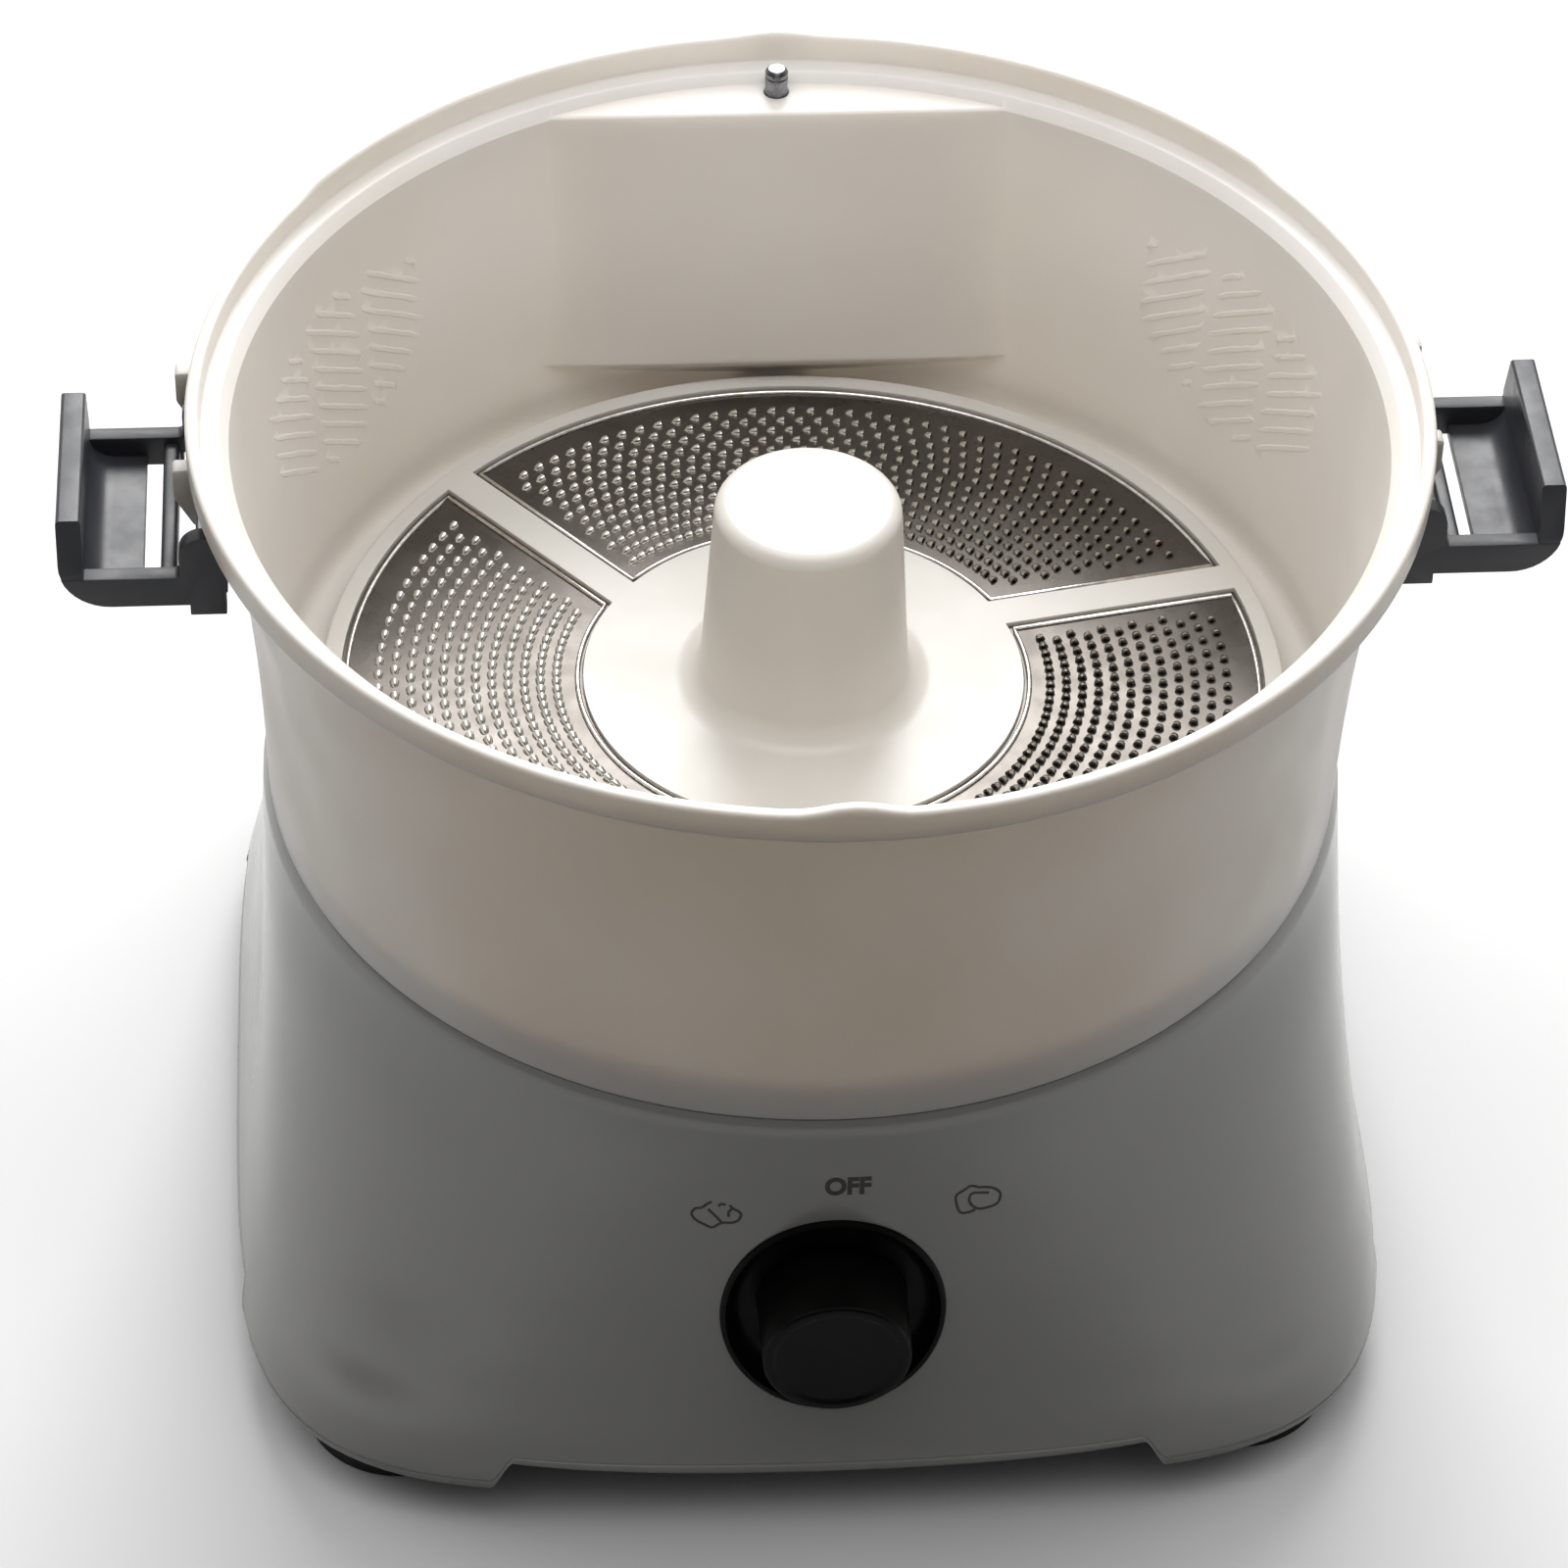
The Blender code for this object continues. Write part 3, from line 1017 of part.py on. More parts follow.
def make_bottom_plate():
    """Bottom plate that closes the housing, with posts, the lower bearing boss and foot holes."""
    plate = lofted("bottom_plate", base_rings(PLATE_UNDERSIDE, PLATE_TOP, BASE_WALL + 2 * GAP), BLACK_PLASTIC)
    low = PLATE_UNDERSIDE + PLATE_THICKNESS / 2
    boolean(plate, cylinder("lower_boss", LOWER_BOSS_RADIUS, (0, 0, low), (0, 0, LOWER_BUSH_TOP)), "UNION")
    for i, (x, y) in enumerate(gear_post_places()):
        boolean(plate, cylinder(f"gear_post_{i + 1}", POST_RADIUS, (x, y, low), (x, y, GEAR_PLATE_Z - GAP),
                                steps=TINY_STEPS), "UNION")
    for i, (x, y) in enumerate(board_post_places()):
        boolean(plate, cylinder(f"board_post_{i + 1}", BOARD_POST_RADIUS, (x, y, low),
                                (x, y, PLATE_TOP + BOARD_LIFT - GAP), steps=TINY_STEPS), "UNION")
    boolean(plate, cylinder("lower_boss_bore", BUSH_RADIUS + BORE_GAP, (0, 0, PLATE_TOP + LOWER_BOSS_FLOOR),
                            (0, 0, LOWER_BUSH_TOP + OVERRUN)), "DIFFERENCE")
    for i, (side_x, side_y) in enumerate(((1, 1), (1, -1), (-1, 1), (-1, -1))):
        places = (("plate_screw_hole", SCREW_RADIUS, side_x * SCREW_BOSS_X, side_y * SCREW_BOSS_Y),
                  ("plate_foot_hole", FOOT_STUD_RADIUS, side_x * FOOT_OFFSET, side_y * FOOT_OFFSET))
        for name, radius, x, y in places:
            hole = cylinder(f"{name}_{i + 1}", radius + BORE_GAP, (x, y, PLATE_UNDERSIDE - OVERRUN),
                            (x, y, PLATE_TOP + OVERRUN), steps=TINY_STEPS)
            boolean(plate, hole, "DIFFERENCE")
    return plate


def make_screw(number, x, y):
    """Screw that holds the bottom plate to a boss of the housing."""
    head_top = PLATE_UNDERSIDE - GAP
    profile = [(0, head_top + SCREW_LENGTH), (SCREW_RADIUS, head_top + SCREW_LENGTH),
               (SCREW_RADIUS, head_top), (SCREW_HEAD_RADIUS, head_top),
               (SCREW_HEAD_RADIUS, head_top - SCREW_HEAD_HEIGHT),
               (0, head_top - SCREW_HEAD_HEIGHT)]
    return turned(f"base_screw_{number}", profile, STEEL, steps=TINY_STEPS, location=(x, y, 0))


def make_foot(word, x, y):
    """Rubber suction foot: a cupped flange, a neck up to the plate and a stud through it."""
    neck_top = PLATE_UNDERSIDE - GAP
    cup_radius = FOOT_RADIUS - FOOT_RIM_WIDTH
    profile = [(0, PLATE_TOP + FOOT_STUD_RISE), (FOOT_STUD_RADIUS, PLATE_TOP + FOOT_STUD_RISE),
               (FOOT_STUD_RADIUS, neck_top), (FOOT_NECK_RADIUS, neck_top),
               (FOOT_NECK_RADIUS, FOOT_FLANGE_HEIGHT + FOOT_CUP_DEPTH),
               (FOOT_RADIUS - FOOT_CUP_DEPTH, FOOT_FLANGE_HEIGHT), (FOOT_RADIUS, FOOT_CUP_DEPTH),
               (FOOT_RADIUS, 0), (cup_radius, 0), (cup_radius / 2, FOOT_CUP_DEPTH * FOOT_CUP_SHARE),
               (0, FOOT_CUP_DEPTH)]
    return turned(f"foot_{word}", profile, RUBBER, location=(x, y, 0))


# Drive
def gear_outline(teeth, first_tooth, centre=(0, 0)):
    """Outline of a spur gear with involute flanks, one tooth pointing along the first_tooth azimuth."""
    pitch = pitch_radius(teeth)
    base = pitch * math.cos(PRESSURE_ANGLE)
    tip = pitch + ADDENDUM_SHARE * GEAR_MODULE
    root = pitch - DEDENDUM_SHARE * GEAR_MODULE

    def half_width(radius):
        """Half the tooth's angle at a radius."""
        pressure = math.acos(min(base / max(radius, base), 1.0))
        at_pitch = math.pi / (2 * teeth) - GEAR_BACKLASH / (2 * pitch)
        rolled = math.tan(PRESSURE_ANGLE) - PRESSURE_ANGLE - math.tan(pressure) + pressure
        return at_pitch + rolled

    points = []
    for i in range(teeth):
        middle = first_tooth + 2 * math.pi * i / teeth
        points += [Vector(centre) + polar(radius, middle - half_width(radius)) for radius in (root, tip)]
        points += [Vector(centre) + polar(radius, middle + half_width(radius)) for radius in (tip, root)]
    return points


def make_spindle():
    """Upright steel spindle with a hexagonal drive dog on top."""
    dog_bottom = DOG_TOP - DOG_HEIGHT
    spindle = cylinder("drive_spindle", SPINDLE_RADIUS, (0, 0, SPINDLE_BOTTOM),
                       (0, 0, DOG_TOP - DOG_HEIGHT / 2), STEEL)
    corner_radius = DOG_ACROSS_FLATS / 2 / math.cos(math.pi / 6)
    dog = cylinder("drive_dog", corner_radius, (0, 0, dog_bottom), (0, 0, DOG_TOP), steps=6)
    return boolean(spindle, dog, "UNION")


def make_bush(name, top):
    """Brass bush with a flange on its upper end, around the spindle."""
    bore = SPINDLE_RADIUS + BORE_GAP
    seat = top - BUSH_FLANGE_THICKNESS
    profile = [(BUSH_FLANGE_RADIUS, top), (BUSH_FLANGE_RADIUS, seat), (BUSH_RADIUS, seat),
               (BUSH_RADIUS, seat - BUSH_LENGTH), (bore, seat - BUSH_LENGTH), (bore, top)]
    return turned(name, profile, BRASS, steps=TINY_STEPS, closed=True)


def make_output_gear():
    """Large gear on the spindle, with a hub that stands on the gear plate."""
    gear = extruded("output_gear", [gear_outline(OUTPUT_TEETH, IDLER_AZIMUTH)], GEAR_WIDTH, GEAR_NYLON,
                    location=(0, 0, LOWER_GEAR_Z + GEAR_WIDTH / 2))
    hub = cylinder("output_gear_hub", GEAR_HUB_RADIUS, (0, 0, GEAR_PLATE_TOP + GAP),
                   (0, 0, LOWER_GEAR_Z + GEAR_WIDTH / 2))
    bore = cylinder("output_gear_bore", SPINDLE_RADIUS + BORE_GAP, (0, 0, GEAR_PLATE_TOP - OVERRUN),
                    (0, 0, GEARS_TOP))
    boolean(gear, hub, "UNION")
    return boolean(gear, bore, "DIFFERENCE")


def make_idler_gear():
    """Compound idler: a small gear that drives the output gear, under a large one from the pinion."""
    small_first = IDLER_AZIMUTH + math.pi + math.pi / IDLER_SMALL_TEETH
    place = (IDLER_XY.x, IDLER_XY.y, UPPER_GEAR_Z + GEAR_WIDTH / 2)
    gear = extruded("idler_gear", [gear_outline(IDLER_LARGE_TEETH, MOTOR_AZIMUTH)], GEAR_WIDTH, GEAR_NYLON,
                    place)
    low = GEAR_PLATE_TOP + GAP
    high = UPPER_GEAR_Z + GEAR_WIDTH / 2
    small = extruded("idler_small_gear", [gear_outline(IDLER_SMALL_TEETH, small_first)], high - low,
                     location=(IDLER_XY.x, IDLER_XY.y, (low + high) / 2))
    bore = cylinder("idler_bore", PIN_RADIUS + BORE_GAP, (IDLER_XY.x, IDLER_XY.y, low - OVERRUN),
                    (IDLER_XY.x, IDLER_XY.y, GEARS_TOP + OVERRUN))
    boolean(gear, small, "UNION")
    return boolean(gear, bore, "DIFFERENCE")


def make_idler_pin():
    """Pin riveted in the gear plate, on which the idler turns."""
    head_top = GEAR_PLATE_Z - GAP
    profile = [(0, GEARS_TOP), (PIN_RADIUS, GEARS_TOP), (PIN_RADIUS, head_top), (PIN_HEAD_RADIUS, head_top),
               (PIN_HEAD_RADIUS, head_top - PIN_HEAD_THICKNESS), (0, head_top - PIN_HEAD_THICKNESS)]
    return turned("idler_pin", profile, STEEL, steps=TINY_STEPS, location=(IDLER_XY.x, IDLER_XY.y, 0))


def make_gear_plate():
    """Steel plate on four posts that carries the motor, the idler pin and the spindle."""
    outline = rounded_rectangle(-GEAR_PLATE_LEFT, GEAR_PLATE_RIGHT, -GEAR_PLATE_FRONT, GEAR_PLATE_BACK,
                                GEAR_PLATE_ROUND)
    holes = [circle(SPINDLE_RADIUS + 2 * BORE_GAP), circle(PIN_RADIUS + BORE_GAP, IDLER_XY, TINY_STEPS),
             circle(MOTOR_NECK_RADIUS + BORE_GAP, MOTOR_XY)]
    return extruded("gear_plate", [outline] + holes, GEAR_PLATE_THICKNESS, STEEL,
                    location=(0, 0, GEAR_PLATE_Z + GEAR_PLATE_THICKNESS / 2))


def make_motor_can():
    """Motor between the bottom plate and the gear plate, with its bearing neck in the plate."""
    low = PLATE_TOP + GAP
    high = GEAR_PLATE_Z - GAP
    neck_top = high + MOTOR_NECK_HEIGHT
    profile = [(0, neck_top), (MOTOR_NECK_RADIUS, neck_top), (MOTOR_NECK_RADIUS, high),
               (MOTOR_RADIUS - MOTOR_ROUND, high), (MOTOR_RADIUS, high - MOTOR_ROUND),
               (MOTOR_RADIUS, low + MOTOR_ROUND), (MOTOR_RADIUS - MOTOR_ROUND, low), (0, low)]
    can = turned("motor_can", profile, STEEL, location=(MOTOR_XY.x, MOTOR_XY.y, 0))
    hole = cylinder("motor_bore", PIN_RADIUS + BORE_GAP, (MOTOR_XY.x, MOTOR_XY.y, high - MOTOR_SHAFT_DEPTH),
                    (MOTOR_XY.x, MOTOR_XY.y, neck_top + OVERRUN), steps=TINY_STEPS)
    return boolean(can, hole, "DIFFERENCE")


def make_motor_shaft():
    """Motor shaft up to the top of the pinion."""
    low = GEAR_PLATE_Z - GAP - MOTOR_SHAFT_DEPTH + GAP
    return cylinder("motor_shaft", PIN_RADIUS, (MOTOR_XY.x, MOTOR_XY.y, low),
                    (MOTOR_XY.x, MOTOR_XY.y, GEARS_TOP), STEEL, steps=TINY_STEPS)


def make_motor_pinion():
    """Pinion on the motor shaft, in mesh with the idler's large gear."""
    first = MOTOR_AZIMUTH + math.pi + math.pi / PINION_TEETH
    outlines = [gear_outline(PINION_TEETH, first), circle(PIN_RADIUS + BORE_GAP)]
    return extruded("motor_pinion", outlines, GEAR_WIDTH, BRASS,
                    location=(MOTOR_XY.x, MOTOR_XY.y, UPPER_GEAR_Z + GEAR_WIDTH / 2))


# Controls
def dish_ring(radius, place):
    """Ring around the knob's axis; place gives each point's Y from its X and Z."""
    ring = []
    for i in range(DISH_STEPS):
        x, rise = polar(radius, 2 * math.pi * i / DISH_STEPS)
        ring.append((x, place(x, KNOB_Z + rise), KNOB_Z + rise))
    return ring


def make_knob_dish():
    """Black dish around the knob: its lip follows the housing's face, its floor is upright."""
    hole_radius = DISH_RADIUS - DISH_LIP_WIDTH
    shaft_hole = SWITCH_SHAFT_RADIUS + BORE_GAP

    def under_lip(x, z):
        return base_front_y(x, z) - GAP

    def over_lip(x, z):
        return base_front_y(x, z) - GAP - DISH_LIP_HEIGHT

    def slope(x, z):
        return (base_front_y(x, z) + DISH_FLOOR_Y) / 2

    def floor(x, z):
        return DISH_FLOOR_Y

    def back(x, z):
        return DISH_BACK_Y

    middle_radius = (hole_radius + DISH_FLOOR_RADIUS) / 2 - DISH_LIP_WIDTH / 2
    steps = ((DISH_RADIUS, under_lip), (DISH_RADIUS, over_lip), (hole_radius, over_lip),
             (middle_radius, slope), (DISH_FLOOR_RADIUS, floor), (shaft_hole, floor),
             (shaft_hole, back), (hole_radius, back), (hole_radius, under_lip))
    rings = [dish_ring(radius, place) for radius, place in steps]
    return lofted("knob_dish", rings, BLACK_PLASTIC, capped=False)


def make_knob():
    """Round control knob with a socket for the switch shaft; its origin is on the turning axis."""
    back = -(DISH_FLOOR_Y - GAP)
    face = -KNOB_FACE_Y
    bore = SWITCH_SHAFT_RADIUS + BORE_GAP
    bore_end = back + SWITCH_SHAFT_GRIP
    round_middle = KNOB_ROUND * ROUND_MIDDLE_SHARE
    profile = [(0, face), (KNOB_RADIUS - KNOB_ROUND, face), (KNOB_RADIUS - round_middle, face - round_middle),
               (KNOB_RADIUS, face - KNOB_ROUND), (KNOB_RADIUS, back), (bore, back), (bore, bore_end),
               (0, bore_end)]
    return turned("control_knob", profile, BLACK_PLASTIC, steps=DISH_STEPS, location=(0, 0, KNOB_Z),
                  rotation=(math.pi / 2, 0, 0))


def make_switch_shaft():
    """Shaft of the rotary switch, in the knob's socket."""
    front = DISH_FLOOR_Y - GAP - SWITCH_SHAFT_GRIP + GAP
    return cylinder("switch_shaft", SWITCH_SHAFT_RADIUS, (0, front, KNOB_Z),
                    (0, DISH_BACK_Y + SWITCH_DEPTH / 2, KNOB_Z), BRASS, steps=TINY_STEPS)


def make_rotary_switch():
    """Rotary switch behind the dish's floor."""
    front = DISH_BACK_Y + GAP
    switch = box("rotary_switch", (2 * SWITCH_HALF_SIDE, SWITCH_DEPTH, 2 * SWITCH_HALF_SIDE),
                 (0, front + SWITCH_DEPTH / 2, KNOB_Z), BLACK_PLASTIC)
    bore = cylinder("switch_bore", SWITCH_SHAFT_RADIUS + BORE_GAP, (0, front - OVERRUN, KNOB_Z),
                    (0, DISH_BACK_Y + SWITCH_DEPTH / 2 + GAP, KNOB_Z), steps=TINY_STEPS)
    return boolean(switch, bore, "DIFFERENCE")


def make_safety_switch():
    """Safety switch in the tower: its button waits in the hole under the interlock rod."""
    half_width = SWITCH_TOWER_HALF_WIDTH - SWITCH_TOWER_WALL - GAP
    back = CHANNEL_BACK_Y - CHANNEL_WALL - GAP
    top = DECK_BOTTOM - GAP
    switch = box("safety_switch", (2 * half_width, SAFETY_SWITCH_DEPTH, SAFETY_SWITCH_HEIGHT),
                 (0, back - SAFETY_SWITCH_DEPTH / 2, top - SAFETY_SWITCH_HEIGHT / 2), BLACK_PLASTIC)
    button = cylinder("safety_button", SAFETY_BUTTON_RADIUS, (0, ROD_Y, top - SAFETY_SWITCH_HEIGHT / 2),
                      (0, ROD_Y, ROD_BOTTOM - ROD_TRAVEL - GAP), steps=TINY_STEPS)
    return boolean(switch, button, "UNION")


def make_control_board():
    """Circuit board with a capacitor, a chip and a heat sink, on four posts."""
    low = PLATE_TOP + BOARD_LIFT
    top = low + BOARD_THICKNESS
    board = box("control_board", (BOARD_WIDTH, BOARD_LENGTH, BOARD_THICKNESS),
                (BOARD_X, 0, low + BOARD_THICKNESS / 2), BOARD_RESIN)
    sizes = (("capacitor", (CAPACITOR_WIDTH, CAPACITOR_LENGTH, CAPACITOR_HEIGHT), -1, 1),
             ("heatsink", (HEATSINK_THICKNESS, HEATSINK_LENGTH, HEATSINK_HEIGHT), 1, -1),
             ("chip", (CHIP_SIDE, CHIP_SIDE, CHIP_HEIGHT), -1, -1))
    for name, size, side_x, side_y in sizes:
        height = size[2] + BOARD_THICKNESS / 2
        place = (BOARD_X + side_x * BOARD_WIDTH / 4, side_y * BOARD_LENGTH / 4,
                 top - BOARD_THICKNESS / 2 + height / 2)
        boolean(board, box(name, (size[0], size[1], height), place), "UNION")
    return board


def make_cord_gland():
    """Gland where the mains cord enters: flange outside, tail through the wall, socket for the cord."""
    flange_end = GLAND_FACE_Y + GLAND_FLANGE_THICKNESS
    bore_end = GLAND_END_Y - GLAND_BORE_DEPTH
    profile = [(0, bore_end), (GLAND_BORE, bore_end), (GLAND_BORE, GLAND_END_Y),
               (GLAND_NOSE_RADIUS, GLAND_END_Y), (GLAND_FLANGE_RADIUS, flange_end),
               (GLAND_FLANGE_RADIUS, GLAND_FACE_Y),
               (GLAND_RADIUS, GLAND_FACE_Y), (GLAND_RADIUS, GLAND_FACE_Y - GLAND_TAIL),
               (0, GLAND_FACE_Y - GLAND_TAIL)]
    return turned("cord_gland", profile, BLACK_PLASTIC, location=(GLAND_X, 0, GLAND_Z),
                  rotation=(-math.pi / 2, 0, 0))


def build():
    """Make every sub-part of the peeler."""
    make_bowl()
    for word, side in (("left", -1), ("right", 1)):
        make_latch_pin(word, side)
        make_latch(word, side)
    make_interlock_rod()
    make_interlock_spring()
    make_disc_carrier()
    for index in range(ARM_COUNT):
        make_insert(index)
    make_base_housing()
    make_bottom_plate()
    corners = (("front_left", -1, -1), ("front_right", 1, -1), ("rear_left", -1, 1), ("rear_right", 1, 1))
    for number, (word, side_x, side_y) in enumerate(corners, 1):
        make_foot(word, side_x * FOOT_OFFSET, side_y * FOOT_OFFSET)
        make_screw(number, side_x * SCREW_BOSS_X, side_y * SCREW_BOSS_Y)
    make_spindle()
    make_bush("upper_bush", SPINDLE_TOWER_TOP + GAP + BUSH_FLANGE_THICKNESS)
    make_bush("lower_bush", LOWER_BUSH_TOP + GAP + BUSH_FLANGE_THICKNESS)
    make_output_gear()
    make_idler_gear()
    make_idler_pin()
    make_gear_plate()
    make_motor_can()
    make_motor_shaft()
    make_motor_pinion()
    make_knob_dish()
    make_knob()
    make_switch_shaft()
    make_rotary_switch()
    make_safety_switch()
    make_control_board()
    make_cord_gland()


build()
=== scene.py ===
import random
from bisect import bisect
from math import atan2, cos, hypot, pi, radians, sin, sqrt, tan

import bmesh
import bpy
from mathutils import Matrix, Vector


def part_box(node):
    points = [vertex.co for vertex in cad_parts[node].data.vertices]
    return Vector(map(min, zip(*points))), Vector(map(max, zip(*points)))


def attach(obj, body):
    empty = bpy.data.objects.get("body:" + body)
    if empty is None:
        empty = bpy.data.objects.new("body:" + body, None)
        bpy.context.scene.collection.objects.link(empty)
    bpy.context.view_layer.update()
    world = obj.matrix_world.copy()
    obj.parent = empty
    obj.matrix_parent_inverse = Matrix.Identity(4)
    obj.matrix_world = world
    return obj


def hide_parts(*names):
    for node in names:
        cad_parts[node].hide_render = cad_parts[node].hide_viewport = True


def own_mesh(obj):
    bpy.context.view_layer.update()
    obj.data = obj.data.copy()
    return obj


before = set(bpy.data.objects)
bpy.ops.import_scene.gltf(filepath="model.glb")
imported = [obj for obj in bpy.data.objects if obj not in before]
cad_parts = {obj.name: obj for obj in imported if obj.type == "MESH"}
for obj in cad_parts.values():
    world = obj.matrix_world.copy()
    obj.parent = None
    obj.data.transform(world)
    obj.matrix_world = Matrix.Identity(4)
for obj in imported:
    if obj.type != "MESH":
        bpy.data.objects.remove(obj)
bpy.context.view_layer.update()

# Camera: a long lens above and in front of the peeler, as in the photograph. It stands a little
# to the left of the control knob and leans by less than two degrees.
# Y of the bowl's axis; the frame is centred on the whole part, knob and gland included
AXIS_Y = 0.000636
EYE = Vector((-0.0742, -0.8841 + AXIS_Y, 0.8985))
TARGET = Vector((0, AXIS_Y, 0.0905))
CAMERA_LEAN = radians(1.66)
ahead = (TARGET - EYE).normalized()
level = ahead.cross(Vector((0, 0, 1))).normalized()
upright = level.cross(ahead)
camera_right = level * cos(CAMERA_LEAN) + upright * sin(CAMERA_LEAN)
camera_up = upright * cos(CAMERA_LEAN) - level * sin(CAMERA_LEAN)


def placed(name, data):
    """New object in the scene."""
    item = bpy.data.objects.new(name, data)
    bpy.context.scene.collection.objects.link(item)
    return item


camera = placed("camera", bpy.data.cameras.new("camera"))
facing = Matrix((camera_right, camera_up, -ahead)).transposed().to_4x4()
camera.matrix_world = Matrix.Translation(EYE) @ facing
camera.data.lens = 132.37
camera.data.sensor_width = 36
camera.data.shift_x = -0.01036
camera.data.shift_y = 0.0032
bpy.context.scene.camera = camera


# Feet: four round suction feet of black rubber, each moulded with a cupped rim and a stud that
# is pushed through the bottom plate.
FOOT_PLACE = 0.086
FEET = (("front_left", -1, -1), ("front_right", 1, -1), ("rear_left", -1, 1), ("rear_right", 1, 1))
# Radius, height and corner radius from the top of the stud round to the middle of the cup
FOOT_CORNERS = ((0, 0.018, 0), (0.0038, 0.018, 0.0008), (0.0038, 0.0132, 0), (0.0118, 0.0132, 0.0006),
                (0.0112, 0.0100, 0.0008), (0.0118, 0.0068, 0.0012), (0.0172, 0.0040, 0.0015),
                (0.0199, 0.0026, 0.0012), (0.0199, 0.0, 0.0004), (0.0168, 0.0, 0.0004),
                (0.0120, 0.0018, 0.0030), (0, 0.0025, 0))


def rgb(code):
    """Linear colour of an sRGB hex value."""
    channels = [int(code[i:i + 2], 16) / 255 for i in (0, 2, 4)]
    return (*[c / 12.92 if c <= 0.04045 else ((c + 0.055) / 1.055) ** 2.4 for c in channels], 1.0)


def node(tree, kind, inputs=None, **settings):
    """Shader node with its settings; an input is linked to a socket or a node's first output, or set."""
    made = tree.nodes.new("ShaderNode" + kind)
    for key, value in settings.items():
        setattr(made, key, value)
    for key, value in (inputs or {}).items():
        value = value.outputs[0] if isinstance(value, bpy.types.Node) else value
        if isinstance(value, bpy.types.NodeSocket):
            tree.links.new(value, made.inputs[key])
        else:
            made.inputs[key].default_value = value
    return made


def ramp(tree, value, start, end, low=0.0, high=1.0):
    """Node that goes smoothly from low to high while a value goes from start to end."""
    limits = {"From Min": start, "From Max": end, "To Min": low, "To Max": high}
    return node(tree, "MapRange", {"Value": value, **limits}, interpolation_type="SMOOTHSTEP")


def surface(name, colours, patch_mm, roughness, grain_mm, depth_mm, **sockets):
    """Material whose colour and roughness wander over patches, with a fine grain as relief."""
    made = bpy.data.materials.new(name)
    made.use_nodes = True
    tree = made.node_tree
    shader = tree.nodes["Principled BSDF"]
    for key, value in sockets.items():
        shader.inputs[key.replace("_", " ")].default_value = value
    place = node(tree, "TexCoord").outputs["Object"]
    # Noise keeps near its middle, so this part of it is spread over the whole range
    spread = (0.25, 0.75)
    patches = node(tree, "TexNoise", {"Vector": place, "Scale": 1000 / patch_mm, "Detail": 2.0})
    share = ramp(tree, patches, *spread)
    mixed = node(tree, "Mix", {0: share, 6: rgb(colours[0]), 7: rgb(colours[1])}, data_type="RGBA")
    smears = node(tree, "TexNoise", {"Vector": place, "Scale": 2300 / patch_mm, "Detail": 3.0})
    sheen = ramp(tree, smears, *spread, *roughness)
    grain = node(tree, "TexNoise", {"Vector": place, "Scale": 1000 / grain_mm, "Detail": 3.0})
    relief = node(tree, "Bump", {"Height": grain, "Distance": depth_mm / 1000})
    for output, key in ((mixed.outputs[2], "Base Color"), (sheen.outputs[0], "Roughness"),
                        (relief.outputs[0], "Normal")):
        tree.links.new(output, shader.inputs[key])
    return made


def softened(corners, steps=5, closed=False):
    """Outline through corners, each given as two places and the radius that rounds it."""
    points = []
    for i, (first, second, radius) in enumerate(corners):
        here = Vector((first, second))
        if radius == 0 or (not closed and i in (0, len(corners) - 1)):
            points.append(here)
            continue
        back = Vector(corners[i - 1][:2]) - here
        onward = Vector(corners[(i + 1) % len(corners)][:2]) - here
        half = back.angle(onward) / 2
        cut = min(radius / tan(half), back.length * 0.49, onward.length * 0.49)
        centre = here + (back.normalized() + onward.normalized()).normalized() * cut / cos(half)
        start = here + back.normalized() * cut - centre
        end = here + onward.normalized() * cut - centre
        turn = (atan2(end.y, end.x) - atan2(start.y, start.x) + pi) % (2 * pi) - pi
        for k in range(steps + 1):
            points.append(centre + Matrix.Rotation(turn * k / steps, 2) @ start)
    return points


def loft(shape, rings, closed=False, ends=False):
    """Skin through rings of points; one point is a pole, closed joins last to first, ends are caps."""
    loops = [[shape.verts.new(point) for point in ring] for ring in rings]
    pairs = list(zip(loops, loops[1:])) + ([(loops[-1], loops[0])] if closed else [])
    for lower, upper in pairs:
        for i in range(max(len(lower), len(upper))):
            corners = [lower[i % len(lower)], lower[(i + 1) % len(lower)],
                       upper[(i + 1) % len(upper)], upper[i % len(upper)]]
            corners = list(dict.fromkeys(corners))
            if len(corners) > 2:
                shape.faces.new(corners)
    if ends:
        shape.faces.new(loops[0])
        shape.faces.new(reversed(loops[-1]))
    bmesh.ops.recalc_face_normals(shape, faces=shape.faces)
    return shape


def polar(radius, angle):
    """Plan point at a radius and an azimuth."""
    return Vector((radius * cos(angle), radius * sin(angle)))


def circle(radius, steps):
    """Plan points evenly round the axis."""
    return [polar(radius, 2 * pi * i / steps) for i in range(steps)]


def turned(profile, steps=96, closed=False, shape=None):
    """Turned solid from radius and height points, about the upright axis; it joins a given shape."""
    rings = [[(*point, height) for point in circle(radius, steps)] if radius > 1e-6 else [(0, 0, height)]
             for radius, height in profile]
    return loft(shape or bmesh.new(), rings, closed)


def piece(name, shape, look, body, stands_for=(), place=(0, 0, 0), turn=None, sharp=32):
    """Object from a mesh on the bowl's axis, riding on its body in place of its CAD nodes."""
    mesh = bpy.data.meshes.new(name)
    shape.to_mesh(mesh)
    shape.free()
    if turn:
        mesh.transform(turn)
    mesh.transform(Matrix.Translation(Vector(place) + Vector((0, AXIS_Y, 0))))
    mesh.shade_smooth()
    mesh.set_sharp_from_angle(angle=radians(sharp))
    mesh.materials.append(look)
    item = placed(name, mesh)
    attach(item, body)
    if stands_for:
        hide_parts(*stands_for)
    return item


